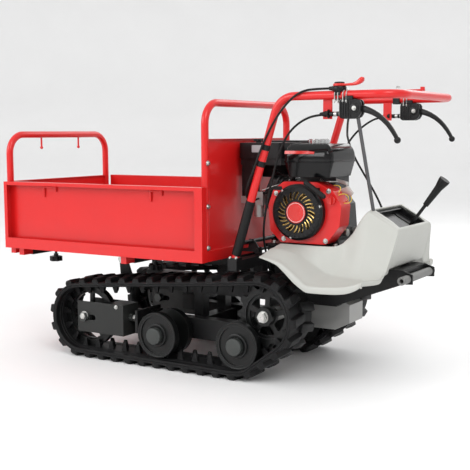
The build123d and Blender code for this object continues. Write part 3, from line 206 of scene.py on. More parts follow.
look = {
    "red": finish("red_enamel", RED, 0.34, coat=0.25, coat_rough=0.10, mottle=0.05,
                  grain_scale=420.0, grain=0.05, rough_spread=0.06,
                  edge=((0.80, 0.03, 0.02), 0.3), specular=0.35),
    "black": finish("black_frame_paint", BLACK, 0.40, mottle=0.25, specular=0.28,
                    grain_scale=700.0, grain=0.10, edge=(GREY_EDGE, 0.25),
                    dust=(DUST, 0.04)),
    "grey": finish("grey_plate_paint", (0.018, 0.019, 0.018), 0.42, mottle=0.15, specular=0.3,
                   grain_scale=500.0, grain=0.10, edge=((0.09, 0.09, 0.09), 0.4),
                   dust=(DUST, 0.06)),
    "belt": finish("belt_rubber", (0.0045, 0.0045, 0.005), 0.52, mottle=0.3, grain_scale=420.0,
                   grain=0.30, edge=((0.03, 0.03, 0.03), 0.5), dust=(DUST, 0.10),
                   specular=0.22),
    "rubber": finish("moulded_rubber", (0.005, 0.005, 0.005), 0.50, mottle=0.2,
                     grain_scale=600.0, grain=0.2, edge=(GREY_EDGE, 0.2), specular=0.25),
    "bar_rubber": finish("grey_bar_rubber", (0.17, 0.17, 0.165), 0.62, mottle=0.15,
                         grain_scale=500.0, grain=0.25),
    "casting": finish("black_casting", (0.004, 0.0045, 0.0045), 0.36, mottle=0.3,
                      specular=0.32,
                      grain_scale=260.0, grain=0.35, edge=(GREY_EDGE, 0.35),
                      dust=(DUST, 0.05)),
    "zinc": finish("zinc_plate", (0.55, 0.55, 0.53), 0.30, metal=1.0, mottle=0.12,
                   grain_scale=700.0, grain=0.06),
    "steel": finish("drawn_steel", (0.11, 0.11, 0.115), 0.38, metal=1.0, mottle=0.2,
                    grain_scale=300.0, grain=0.08),
    "dark_casting": finish("grey_engine_casting", (0.02, 0.02, 0.021), 0.45, metal=0.2,
                           mottle=0.2, grain_scale=300.0, grain=0.3,
                           edge=((0.15, 0.15, 0.15), 0.4)),
    "aluminium": finish("cast_aluminium", (0.36, 0.36, 0.35), 0.46, metal=0.8, mottle=0.12,
                        grain_scale=300.0, grain=0.28, edge=((0.75, 0.75, 0.76), 0.4)),
    "plastic": finish("black_plastic", (0.0045, 0.0045, 0.005), 0.36, mottle=0.12,
                      grain_scale=900.0, grain=0.15, edge=(GREY_EDGE, 0.15), specular=0.28),
    "tank": finish("tank_gloss", (0.003, 0.003, 0.0035), 0.14, mottle=0.1,
                   grain_scale=300.0, grain=0.03, specular=0.30, rough_spread=0.04),
    "red_plastic": finish("red_plastic", (0.58, 0.012, 0.008), 0.26, coat=0.35, mottle=0.05,
                          grain_scale=900.0, grain=0.04),
    "cover": finish("warm_grey_plastic", (0.44, 0.445, 0.415), 0.46, mottle=0.03,
                    grain_scale=650.0, grain=0.16, dust=((0.42, 0.41, 0.38), 0.12),
                    edge_size=0.004),
    "chrome": finish("chrome", (0.55, 0.55, 0.55), 0.16, metal=1.0, mottle=0.03,
                     grain_scale=500.0, grain=0.02, rough_spread=0.04),
    "brass": finish("brass", (0.62, 0.43, 0.15), 0.28, metal=1.0, mottle=0.1,
                    grain_scale=500.0, grain=0.05),
    "white": finish("white_label", (0.78, 0.78, 0.76), 0.40, coat=0.3, mottle=0.02,
                    grain_scale=900.0, grain=0.03),
    "silver_label": finish("silver_label", (0.33, 0.33, 0.34), 0.34, mottle=0.03,
                           grain_scale=900.0, grain=0.03),
    "yellow": finish("yellow_label", (0.72, 0.50, 0.05), 0.40, coat=0.3, mottle=0.03,
                     grain_scale=900.0, grain=0.03),
    "wire": finish("yellow_wire", (0.70, 0.48, 0.05), 0.45, mottle=0.06),
    "hub": finish("hub_cap_grey", (0.030, 0.034, 0.032), 0.34, mottle=0.2,
                  grain_scale=500.0, grain=0.12, edge=((0.10, 0.10, 0.10), 0.4)),
}

LOOKS_OF_NODES = {
    "belt": "track_belt",
    "black": ("track_frame clutch_lever chassis_frame belt_guard muffler muffler_guard "
              "gear_lever rear_bracket bed_subframe bed_latch"),
    "grey": "tension_box",
    "casting": "sprocket idler roller_front roller_rear",
    "zinc": "half_shaft gearbox_pulley engine_pulley oil_plugs pivot_pin",
    "red": "side_panel fan_cover handlebar drive_lever bed_floor headboard front_gate",
    "hub": "running_gear_axles",
    "aluminium": "gearbox carburettor",
    "rubber": "drive_belt starter_grip gear_lever_grip control_cables bed_pads",
    "dark_casting": "engine_block",
    "plastic": ("recoil_cover air_cleaner console_panel lever_perches throttle_housing "
                "clamp_knobs"),
    "tank": "fuel_tank",
    "chrome": "fuel_cap",
    "red_plastic": "engine_switch throttle_lever",
    "cover": "console_cover",
    "bar_rubber": "rear_bar",
    "steel": "stay_rod",
}
node_look = {stem: key for key, stems in LOOKS_OF_NODES.items() for stem in stems.split()}


# ---- mesh helpers --------------------------------------------------------------------------
SMOOTH_ANGLE = math.radians(35.0)


def place(name, form, material, body=MACHINE, bevel=0.0):
    """Turns a bmesh into a finished piece that rides on a body."""
    bmesh.ops.recalc_face_normals(form, faces=form.faces)
    mesh = bpy.data.meshes.new(name)
    form.to_mesh(mesh)
    form.free()
    thing = bpy.data.objects.new(name, mesh)
    bpy.context.scene.collection.objects.link(thing)
    mesh.materials.append(look[material])
    if bevel:
        modifier = thing.modifiers.new("bevel", "BEVEL")
        modifier.width = bevel
        modifier.segments = 2
        modifier.limit_method = "ANGLE"
        modifier.angle_limit = SMOOTH_ANGLE
    for face in mesh.polygons:
        face.use_smooth = True
    mesh.set_sharp_from_angle(angle=SMOOTH_ANGLE)
    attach(thing, body)
    return thing


def frame_along(axis):
    """Two directions square to an axis."""
    axis = Vector(axis).normalized()
    helper = Vector((0, 0, 1)) if abs(axis.z) < 0.9 else Vector((1, 0, 0))
    first = axis.cross(helper).normalized()
    return axis, first, axis.cross(first)


def add_lathe(form, centre, axis, profile, count=40):
    """Turns a profile of (radius, distance along the axis) round an axis."""
    centre = Vector(centre)
    axis, first, second = frame_along(axis)
    rings = []
    for radius, along in profile:
        if radius < 1e-6:
            rings.append([form.verts.new(centre + axis * along)])
        else:
            rings.append([form.verts.new(
                centre + axis * along
                + (first * math.cos(2 * math.pi * i / count)
                   + second * math.sin(2 * math.pi * i / count)) * radius)
                for i in range(count)])
    for low, high in zip(rings, rings[1:]):
        for i in range(count):
            j = (i + 1) % count
            if len(low) == 1 and len(high) == 1:
                continue
            if len(low) == 1:
                form.faces.new((low[0], high[j], high[i]))
            elif len(high) == 1:
                form.faces.new((low[i], low[j], high[0]))
            else:
                form.faces.new((low[i], low[j], high[j], high[i]))
    return rings


def add_prism(form, centre, axis, across, thickness, outline):
    """A flat outline in the plane square to axis (across is its first direction)."""
    centre, axis = Vector(centre), Vector(axis).normalized()
    first = Vector(across).normalized()
    second = axis.cross(first)
    low = [form.verts.new(centre + first * u + second * v) for u, v in outline]
    high = [form.verts.new(vert.co + axis * thickness) for vert in low]
    form.faces.new(low[::-1])
    form.faces.new(high)
    for i in range(len(low)):
        j = (i + 1) % len(low)
        form.faces.new((low[i], low[j], high[j], high[i]))


def add_box(form, low, high):
    corners = [(x, y, z) for x in (low[0], high[0]) for y in (low[1], high[1])
               for z in (low[2], high[2])]
    verts = [form.verts.new(c) for c in corners]
    for a, b, c, d in ((0, 1, 3, 2), (4, 6, 7, 5), (0, 4, 5, 1), (2, 3, 7, 6), (0, 2, 6, 4),
                       (1, 5, 7, 3)):
        form.faces.new((verts[a], verts[b], verts[c], verts[d]))


def hexagon(radius):
    return [(radius * math.cos(math.pi / 3 * i), radius * math.sin(math.pi / 3 * i))
            for i in range(6)]


def add_bolt(form, centre, axis, size, washer=True):
    """Hexagon bolt head on a washer, with a domed top; size is across the flats."""
    centre = Vector(centre)
    axis, first, _ = frame_along(axis)
    base = 0.0
    if washer:
        base = size * 0.14
        add_lathe(form, centre, axis, [(0, 0), (size * 0.82, 0), (size * 0.85, base * 0.4),
                                       (size * 0.82, base), (0, base)], 28)
    add_prism(form, centre + axis * base, axis, first, size * 0.55, hexagon(size * 0.577))
    add_lathe(form, centre + axis * (base + size * 0.55), axis,
              [(size * 0.48, -0.0002), (size * 0.40, size * 0.07), (0, size * 0.09)], 24)


def tube(name, points, radius, material):
    """A round tube along one smooth curve."""
    curve = bpy.data.curves.new(name, "CURVE")
    curve.dimensions = "3D"
    curve.bevel_depth = radius
    curve.bevel_resolution = 5
    curve.resolution_u = 14
    curve.use_fill_caps = True
    spline = curve.splines.new("NURBS")
    spline.points.add(len(points) - 1)
    for point, at in zip(spline.points, points):
        point.co = (*at, 1.0)
    spline.order_u = 3
    spline.use_endpoint_u = True
    thing = bpy.data.objects.new(name, curve)
    bpy.context.scene.collection.objects.link(thing)
    curve.materials.append(look[material])
    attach(thing, MACHINE)
    return thing


# ---- track belts ---------------------------------------------------------------------------
PITCH, LINKS = 0.060, 37
BELT_MIDDLE, BELT_HALF = 0.227, 0.075
CARCASS, LUG_TOP, CORD = 0.016, 0.032, 0.008
ROLLER_X = {"front": 0.112, "rear": -0.207}
ROLLER_Z = 0.111
ROLLER_SEAT = 0.079
BELT_WHEELS = [(ROLLER_X["rear"], ROLLER_Z, ROLLER_SEAT),
               (ROLLER_X["front"], ROLLER_Z, ROLLER_SEAT), (0.436755, 0.142, 0.110),
               (-0.294, 0.211, PITCH * 12 / (2 * math.pi) - CORD)]


def belt_course():
    """Runs and arcs of the belt's inner face, and the whole cord length."""
    runs = []
    for (x0, z0, r0), (x1, z1, r1) in zip(BELT_WHEELS, BELT_WHEELS[1:] + BELT_WHEELS[:1]):
        heading = math.atan2(z1 - z0, x1 - x0)
        lean = math.asin((r1 - r0) / math.hypot(x1 - x0, z1 - z0))
        normal = heading - math.pi / 2 - lean
        way = (math.cos(normal), math.sin(normal))
        runs.append(((x0 + way[0] * r0, z0 + way[1] * r0), (x1 + way[0] * r1, z1 + way[1] * r1),
                     normal))
    pieces = []
    for index, (start, end, normal) in enumerate(runs):
        x1, z1, r1 = BELT_WHEELS[(index + 1) % len(BELT_WHEELS)]
        turn = (runs[(index + 1) % len(runs)][2] - normal) % (2 * math.pi)
        length = math.hypot(end[0] - start[0], end[1] - start[1])
        pieces.append(("run", start, end, normal, length))
        pieces.append(("arc", (x1, z1), r1, normal, turn * (r1 + CORD)))
    return pieces


COURSE = belt_course()
COURSE_LENGTH = sum(piece[4] for piece in COURSE)


def on_belt(along, out, y):
    """The point at a length along the cord line, a height over the inner face and a side."""
    left = along % COURSE_LENGTH
    for kind, first, second, normal, length in COURSE:
        if left > length:
            left -= length
            continue
        if kind == "run":
            share = left / length
            x = first[0] + (second[0] - first[0]) * share
            z = first[1] + (second[1] - first[1]) * share
            angle = normal
        else:
            angle = normal + left / (second + CORD)
            x = first[0] + second * math.cos(angle)
            z = first[1] + second * math.sin(angle)
        return Vector((x + out * math.cos(angle), y, z + out * math.sin(angle)))
    return on_belt(0.0, out, y)


def add_loft(form, rings):
    """Closed skin through rings of points, capped at both ends."""
    made = [[form.verts.new(point) for point in ring] for ring in rings]
    count = len(made[0])
    form.faces.new(made[0][::-1])
    form.faces.new(made[-1])
    for low, high in zip(made, made[1:]):
        for i in range(count):
            j = (i + 1) % count
            form.faces.new((low[i], low[j], high[j], high[i]))


def add_belt(name, side):
    """Rubber belt: ribbed carcass, slanted tread bars outside and guide horns inside."""
    form = bmesh.new()
    steps = LINKS * 10
    half, round_off = BELT_HALF, 0.0035
    profile = [(-half, round_off), (-half + round_off, 0.0)]
    for rib in (-0.052, -0.040, 0.040, 0.052):
        profile += [(rib - 0.003, 0.0), (rib - 0.0015, 0.0014), (rib + 0.0015, 0.0014),
                    (rib + 0.003, 0.0)]
    profile += [(half - round_off, 0.0), (half, round_off), (half, 0.0062),
                (half - 0.0022, 0.0078), (half, 0.0094),
                (half, CARCASS - round_off), (half - round_off, CARCASS),
                (0.004, CARCASS), (0.0, CARCASS - 0.0015), (-0.004, CARCASS),
                (-half + round_off, CARCASS), (-half, CARCASS - round_off),
                (-half, 0.0094), (-half + 0.0022, 0.0078), (-half, 0.0062)]
    middle = side * BELT_MIDDLE
    rings = [[form.verts.new(on_belt(COURSE_LENGTH * i / steps, out, middle + u))
              for u, out in profile] for i in range(steps)]
    count = len(profile)
    for i, low in enumerate(rings):
        high = rings[(i + 1) % steps]
        for j in range(count):
            k = (j + 1) % count
            form.faces.new((low[j], low[k], high[k], high[j]))
    pitch = COURSE_LENGTH / LINKS
    slant = 0.15
    for link in range(LINKS):
        for part, phase in ((1, 0.0), (-1, 0.5)):
            at = (link + phase) * pitch
            bar = []
            for share in (0.0, 0.2, 0.45, 0.7, 0.9, 1.0):
                u = part * side * (-0.008 + share * (BELT_HALF + 0.008))
                centre = at + slant * abs(u)
                top = LUG_TOP - (0.006 if share in (0.0, 1.0) else 0.0)
                root = 0.0155 - (0.002 if share in (0.0, 1.0) else 0.0)
                y = middle + u * (0.985 if share == 1.0 else 1.0)
                bar.append([on_belt(centre + s, out, y) for s, out in
                            ((-root, CARCASS - 0.002), (-root + 0.0015, CARCASS + 0.006),
                             (-0.0108, top - 0.001), (-0.0085, top), (0.0085, top),
                             (0.0108, top - 0.001), (root - 0.0015, CARCASS + 0.006),
                             (root, CARCASS - 0.002))])
            add_loft(form, bar)
    for row, phase in ((1, 0.0), (-1, 0.5)):
        for link in range(LINKS):
            at = (link + phase) * pitch
            near = middle + side * row * 0.015
            levels = []
            for out, reach, inset in ((0.002, 0.0122, 0.0), (-0.004, 0.0110, 0.0006),
                                      (-0.020, 0.0068, 0.0018), (-0.0262, 0.0052, 0.0026),
                                      (-0.028, 0.0034, 0.0040)):
                y0 = near + side * row * inset
                y1 = near + side * row * (0.012 - inset)
                levels.append([on_belt(at - reach, out, y0), on_belt(at + reach, out, y0),
                               on_belt(at + reach, out, y1), on_belt(at - reach, out, y1)])
            add_loft(form, levels)
    belt = place(name, form, "belt")
    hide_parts(f"track_belt_{'left' if side > 0 else 'right'}")


# ---- engine details ------------------------------------------------------------------------
CRANK = Vector((-0.360, 0.0, 0.542))
LEFTWARD = (0, 1, 0)


def add_recoil_details():
    """Brass-coloured louvres behind the recoil's slots, its blank centre plate and screws."""
    form = bmesh.new()
    blades = 40
    for i in range(blades):
        angle = 2 * math.pi * i / blades
        low, high = [], []
        for radius, twist in ((0.041, 0.0), (0.050, 0.06), (0.060, 0.14), (0.071, 0.25)):
            for y, extra, ring in ((0.1405, 0.0, low), (0.1465, 0.05, high)):
                turn = angle + twist + extra
                ring.append(Vector((CRANK.x + radius * math.cos(turn), y,
                                    CRANK.z + radius * math.sin(turn))))
        add_blade(form, low, high, 0.0007)
    add_lathe(form, (CRANK.x, 0.1335, CRANK.z), LEFTWARD,
              [(0, 0), (0.073, 0), (0.073, 0.0065), (0.0, 0.0065)], 48)
    place("recoil_louvres", form, "brass")
    form = bmesh.new()
    louvres = 26
    for i in range(louvres):
        angle = 2 * math.pi * i / louvres
        low, high = [], []
        for radius, twist in ((0.042, 0.0), (0.050, 0.05), (0.058, 0.12), (0.065, 0.20)):
            for y, extra, ring in ((0.1545, 0.0, low), (0.1572, 0.07, high)):
                turn = angle + twist + extra
                ring.append(Vector((CRANK.x + radius * math.cos(turn), y,
                                    CRANK.z + radius * math.sin(turn))))
        add_blade(form, low, high, 0.0009)
    place("recoil_outer_louvres", form, "brass")
    form = bmesh.new()
    add_lathe(form, (CRANK.x, 0.1598, CRANK.z), LEFTWARD,
              [(0, 0), (0.0335, 0), (0.0345, 0.0006), (0.0335, 0.0014), (0.0, 0.0014)], 56)
    place("recoil_plate", form, "red_plastic")
    form = bmesh.new()
    add_lathe(form, (CRANK.x, 0.1608, CRANK.z), LEFTWARD,
              [(0.0300, 0), (0.0302, 0.0008), (0.0312, 0.0008), (0.0314, 0)], 56)
    place("recoil_plate_ring", form, "white")
    form = bmesh.new()
    for degrees in (52, 165, 285):
        angle = math.radians(degrees)
        add_bolt(form, (CRANK.x + 0.083 * math.cos(angle), 0.1485,
                        CRANK.z + 0.083 * math.sin(angle)), LEFTWARD, 0.009)
    for x, z in ((-0.462, 0.612), (-0.272, 0.600), (-0.300, 0.452), (-0.452, 0.452)):
        add_bolt(form, (x, 0.130, z), LEFTWARD, 0.010)
    place("shroud_screws", form, "zinc")
    form = bmesh.new()
    for degrees in range(0, 360, 12):
        if 95 < degrees < 150:
            continue
        angle = math.radians(degrees)
        way = Vector((math.cos(angle), 0, math.sin(angle)))
        across = Vector((-math.sin(angle), 0, math.cos(angle)))
        start = Vector((CRANK.x, 0.1555, CRANK.z)) + way * 0.0755
        add_prism(form, start, LEFTWARD, way, 0.0022,
                  [(0, -0.0013), (0.0075, -0.0013), (0.0075, 0.0013), (0, 0.0013)])
    place("recoil_ribs", form, "plastic", bevel=0.0005)


def add_blade(form, low, high, thick):
    """A thin curved blade between two edges."""
    sides = []
    for ring in (low, high):
        for shift in (-thick, thick):
            sides.append([form.verts.new(p + Vector((0, 0, shift))) for p in ring])
    count = len(low)
    a, b, c, d = sides
    loop = (a, b, d, c)
    for i in range(count - 1):
        for first, second in zip(loop, loop[1:] + loop[:1]):
            form.faces.new((first[i], first[i + 1], second[i + 1], second[i]))
    form.faces.new((a[0], b[0], d[0], c[0]))
    form.faces.new((a[-1], c[-1], d[-1], b[-1]))


def add_label(name, centre, normal, across, width, height, material, thick=0.0005, corner=0.004):
    """A blank sticker with rounded corners."""
    outline = []
    for cx, cy, start in ((width / 2 - corner, height / 2 - corner, 0),
                          (-width / 2 + corner, height / 2 - corner, 90),
                          (-width / 2 + corner, -height / 2 + corner, 180),
                          (width / 2 - corner, -height / 2 + corner, 270)):
        for step in range(6):
            angle = math.radians(start + 18 * step)
            outline.append((cx + corner * math.cos(angle), cy + corner * math.sin(angle)))
    form = bmesh.new()
    add_prism(form, centre, normal, across, thick, outline)
    return place(name, form, material)


def add_engine_trim():
    """Labels, stripe, wires, springs and small links round the engine."""
    add_label("shroud_label", (-0.278, 0.130, 0.617), LEFTWARD, (1, 0, 0), 0.034, 0.013,
              "plastic", corner=0.006)
    add_label("yellow_sticker", (-0.4745, 0.118, 0.512), (-0.92, 0, -0.05), (0, 1, 0), 0.022,
              0.026, "yellow", corner=0.001)
    add_label("cleaner_label", (-0.192, 0.098, 0.744), LEFTWARD, (1, 0, 0), 0.062, 0.024,
              "silver_label", corner=0.002)
    add_label("guard_label", (-0.4612, 0.012, 0.500), (-1, 0, 0.05), (0, 1, 0), 0.030, 0.030,
              "wire", corner=0.0148)
    form = bmesh.new()
    low, high = [], []
    for x in (-0.312, -0.335, -0.365, -0.395, -0.418):
        top = 0.7390 if x > -0.40 else 0.7365
        low.append(Vector((x, 0.1465, 0.7290)))
        high.append(Vector((x, 0.1440, top)))
    for a0, a1, b0, b1 in zip(low, low[1:], high, high[1:]):
        add_prism_between(form, a0, a1, b1, b0, 0.0006)
    place("tank_stripe", form, "red_plastic")
    tube("fuel_line", [(-0.300, 0.060, 0.655), (-0.288, 0.075, 0.640), (-0.262, 0.095, 0.622),
                       (-0.236, 0.104, 0.604), (-0.214, 0.100, 0.596), (-0.200, 0.094, 0.598)],
         0.0042, "rubber")
    tube("spark_lead", [(-0.205, -0.030, 0.655), (-0.190, -0.010, 0.672), (-0.200, 0.020, 0.672),
                        (-0.240, 0.044, 0.660), (-0.280, 0.058, 0.650), (-0.312, 0.066, 0.640)],
         0.0038, "rubber")
    for name, points in (
            ("wire_a", [(-0.474, 0.112, 0.592), (-0.496, 0.104, 0.606), (-0.512, 0.092, 0.598),
                        (-0.508, 0.078, 0.580), (-0.488, 0.070, 0.576), (-0.464, 0.068, 0.584)]),
            ("wire_b", [(-0.476, 0.108, 0.580), (-0.506, 0.098, 0.570), (-0.520, 0.082, 0.578),
                        (-0.512, 0.066, 0.596), (-0.490, 0.060, 0.600), (-0.462, 0.058, 0.596)]),
            ("wire_c", [(-0.482, 0.100, 0.604), (-0.490, 0.094, 0.620), (-0.474, 0.086, 0.630),
                        (-0.456, 0.080, 0.628)])):
        tube(name, points, 0.0015, "wire")
    form = bmesh.new()
    add_prism(form, (-0.505, 0.070, 0.628), LEFTWARD, (0.92, 0, -0.38), 0.003,
              [(0, 0), (0.062, 0.0), (0.070, 0.010), (0.060, 0.020), (0.020, 0.020),
               (0.004, 0.034), (-0.008, 0.028)])
    add_prism(form, (-0.490, 0.052, 0.640), LEFTWARD, (0.97, 0, 0.22), 0.0025,
              [(0, 0), (0.070, 0.0), (0.074, 0.008), (0.004, 0.012)])
    add_prism(form, (-0.474, 0.086, 0.640), (0, 0, 1), (1, 0, 0), 0.0025,
              [(0, 0), (0.030, 0.0), (0.030, 0.026), (0.006, 0.030)])
    place("governor_plates", form, "zinc", bevel=0.0006)
    form = bmesh.new()
    for at, way in (((-0.500, 0.073, 0.634), LEFTWARD), ((-0.452, 0.073, 0.612), LEFTWARD),
                    ((-0.425, 0.0545, 0.656), LEFTWARD)):
        add_bolt(form, at, way, 0.008)
    place("governor_bolts", form, "zinc")
    turns, points = 9, []
    for i in range(turns * 10 + 1):
        share = i / (turns * 10)
        angle = 2 * math.pi * turns * share
        centre = Vector((-0.448, 0.080, 0.622)).lerp(Vector((-0.404, 0.076, 0.646)), share)
        points.append(centre + Vector((0.36 * math.cos(angle), math.sin(angle),
                                       -0.85 * math.cos(angle))) * 0.0038)
    tube("governor_spring", points, 0.0006, "zinc")
    tube("governor_rod", [(-0.300, 0.073, 0.646), (-0.272, 0.082, 0.630), (-0.238, 0.092, 0.620),
                          (-0.200, 0.096, 0.606)], 0.0014, "zinc")
    form = bmesh.new()
    add_lathe(form, (-0.300, 0.066, 0.648), (0, 1, 0), [(0, 0), (0.009, 0), (0.009, 0.010),
                                                        (0.006, 0.014), (0, 0.014)], 24)
    add_lathe(form, (-0.205, -0.030, 0.648), (0.4, 0, 0.9),
              [(0, -0.012), (0.009, -0.012), (0.010, 0.004), (0.006, 0.012), (0, 0.012)], 24)
    place("spark_boot", form, "rubber")


def add_prism_between(form, a, b, c, d, thick):
    """A thin plate through four corners, standing out along its own normal."""
    normal = (b - a).cross(d - a).normalized()
    if normal.y < 0:
        normal = -normal
    low = [form.verts.new(p) for p in (a, b, c, d)]
    high = [form.verts.new(p + normal * thick) for p in (a, b, c, d)]
    form.faces.new(low)
    form.faces.new(high)
    for i in range(4):
        j = (i + 1) % 4
        form.faces.new((low[i], low[j], high[j], high[i]))


# ---- moulded console cover -----------------------------------------------------------------
# X, inner Y and height, the valley's Y and height, the outer edge's upper and lower heights.
COVER_SECTIONS = [
    (-304, 160, 440, 231, 428, 414, 409), (-340, 160, 440, 231, 430, 408, 399),
    (-368, 160, 440, 231, 425, 402, 389), (-396, 160, 440, 225, 415, 388, 365),
    (-428, 160, 440, 215, 395, 363, 336), (-466, 160, 440, 200, 368, 333, 311),
    (-500, 156, 441, 195, 353, 333, 311), (-540, 142, 462, 200, 350, 335, 312),
    (-580, 142, 505, 205, 349, 337, 314), (-620, 142, 540, 208, 348, 341, 318),
    (-660, 142, 515, 210, 350, 348, 325), (-706, 142, 488, 205, 362, 361, 345)]
COVER_TOP = [(-500, 447), (-520, 455), (-540, 470), (-553, 486), (-572, 521), (-590, 545),
             (-604, 557), (-706, 500)]
COVER_STATIONS = (-304, -311, -322, -340, -354, -368, -382, -396, -412, -428, -447, -466, -484,
                  -500, -520, -536, -553, -572, -590, -601, -606, -612, -617, -640, -670, -690,
                  -695, -700, -704)
COVER_MIDDLE_FROM = -515
TRAY_X = (-694, -612)


def between(table, x):
    """Straight interpolation in a table sorted by falling x."""
    if x >= table[0][0]:
        return table[0][1:]
    for first, second in zip(table, table[1:]):
        if x >= second[0]:
            share = (first[0] - x) / (first[0] - second[0])
            return tuple(a + (b - a) * share for a, b in zip(first[1:], second[1:]))
    return table[-1][1:]


def cover_section(x):
    """(Y, Z) of one side's points from the middle outwards; None where the middle is open."""
    inner_y, inner_z, valley_y, valley_z, edge_z, low_z = between(COVER_SECTIONS, x)
    points = []
    if x > COVER_MIDDLE_FROM:
        points += [None] * 6
        high_y, high_z = inner_y, inner_z
    else:
        top = between(COVER_TOP, x)[0]
        rim = max(0.0, min(6.0, (x + 700) / 5)) if x <= TRAY_X[1] + 7 else 0.0
        points += [(0.0, top + rim), (108.0, top + rim), (112.0, top + rim),
                   (126.0, top + rim), (130.0, top + 1.0), (138.0, top)]
        high_y, high_z = 146.0, top - 4.0
    points.append((high_y, high_z))
    for share, lean in ((0.10, 0.05), (0.45, 0.30), (0.82, 0.68)):
        flat = share if x > COVER_MIDDLE_FROM else lean
        points.append((high_y + (valley_y - high_y) * flat, high_z + (valley_z - high_z) * share))
    points += [(valley_y - 3, valley_z + 2.5), (valley_y + 5, valley_z - 0.5),
               (valley_y + (294 - valley_y) * 0.5, valley_z + (edge_z + 1 - valley_z) * 0.5),
               (285, edge_z + 1), (297, edge_z + 0.5), (301, edge_z - 3),
               (302, (edge_z + low_z) / 2), (302, low_z + 2), (301, low_z)]
    return points


def cover_x(x, y, z):
    """The cover's rear leans forward towards its foot, and each wing is cut back outwards."""
    outward = min(1.0, max(0.0, (y - 212) / 85))
    low = min(1.0, max(0.0, (490 - z) / 130))
    cut = (-560 - x) * 0.36 * outward if x < -560 else 0.0
    lean = (-640 - x) * 0.36 * low * (1.0 - outward) if x < -640 else 0.0
    return x + max(cut, lean)


def add_cover():
    """One smooth shell: wings over the tracks, raised console and the rim round its tray."""
    rows = [[(x, p) for p in cover_section(x)] for x in COVER_STATIONS]
    rear = []
    for index, (x, point) in enumerate(rows[-1]):
        y, z = point
        if index <= 6:
            rear.append(((-704, (y, z - 14)), (-698, (y, 440)), (-690, (y, 376))))
        elif index <= 10:
            rear.append(((-703, (y, z - 6)), (-700, (y + 2, (z + 366) / 2)),
                         (-694, (y + 3, 362))))
        else:
            low = min(z, 352)
            rear.append(((-704, (y, z - 2)), (-703, (y, (z + low) / 2 - 4)), (-700, (y, 344))))
    rows += [[column[level] for column in rear] for level in range(3)]
    form = bmesh.new()
    grid = []
    for row in rows:
        line = []
        for side in (1, -1):
            part = []
            for index, (x, point) in enumerate(row):
                if point is None or (side < 0 and index == 0):
                    part.append(None)
                else:
                    y, z = point
                    part.append(form.verts.new((cover_x(x, y, z) / 1000, side * y / 1000,
                                                z / 1000)))
            line.append(part)
        line[1][0] = line[0][0]
        grid.append(line)
    for number, (first, second) in enumerate(zip(grid, grid[1:])):
        x = COVER_STATIONS[number] if number < len(COVER_STATIONS) else -705
        for side in (0, 1):
            for index in range(len(first[side]) - 1):
                if TRAY_X[0] < x <= TRAY_X[1] and index < 2:
                    continue
                corners = (first[side][index], first[side][index + 1], second[side][index + 1],
                           second[side][index])
                if all(corner is not None for corner in corners):
                    form.faces.new(corners)
    for vert in [v for v in form.verts if not v.link_faces]:
        form.verts.remove(vert)
    bmesh.ops.recalc_face_normals(form, faces=form.faces)
    top_face = max(form.faces, key=lambda face: face.calc_center_median().z)
    if top_face.normal.z < 0:
        bmesh.ops.reverse_faces(form, faces=form.faces)
    mesh = bpy.data.meshes.new("moulded_cover")
    form.to_mesh(mesh)
    form.free()
    thing = bpy.data.objects.new("moulded_cover", mesh)
    bpy.context.scene.collection.objects.link(thing)
    solid = thing.modifiers.new("wall", "SOLIDIFY")
    solid.thickness = 0.004
    solid.offset = -1.0
    smooth = thing.modifiers.new("smooth", "SUBSURF")
    smooth.levels = smooth.render_levels = 2
    for face in mesh.polygons:
        face.use_smooth = True
    mesh.materials.append(look["cover"])
    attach(thing, MACHINE)
    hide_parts("console_cover")


# ---- handlebar dressing --------------------------------------------------------------------
def add_leg_dressing():
    """Black sleeves on the handlebar's legs and tie bands that hold the cables."""
    foot, knee = Vector((-0.184, 0, 0.392)), Vector((-0.347, 0, 0.908))
    way = (knee - foot).normalized()
    for name, side in SIDES:
        y = side * 0.245
        form = bmesh.new()
        start = foot + way * 0.012 + Vector((0, y, 0))
        length = (0.581 - 0.392) / way.z
        add_lathe(form, start, way, [(0.0134, 0), (0.0152, 0.0005), (0.0155, 0.003),
                                     (0.0153, length - 0.016), (0.0150, length - 0.0135),
                                     (0.0134, length - 0.013)], 40)
        place(f"leg_sleeve_{name}", form, "rubber")
        if side < 0:
            continue
        form = bmesh.new()
        for z in (0.700, 0.752):
            at = foot + way * ((z - 0.392) / way.z) + Vector((0, y, 0))
            add_lathe(form, at, way, [(0.0133, -0.009), (0.0146, -0.0085), (0.0148, 0.0),
                                      (0.0146, 0.0085), (0.0133, 0.009)], 32)
        place(f"tie_bands_{name}", form, "rubber")


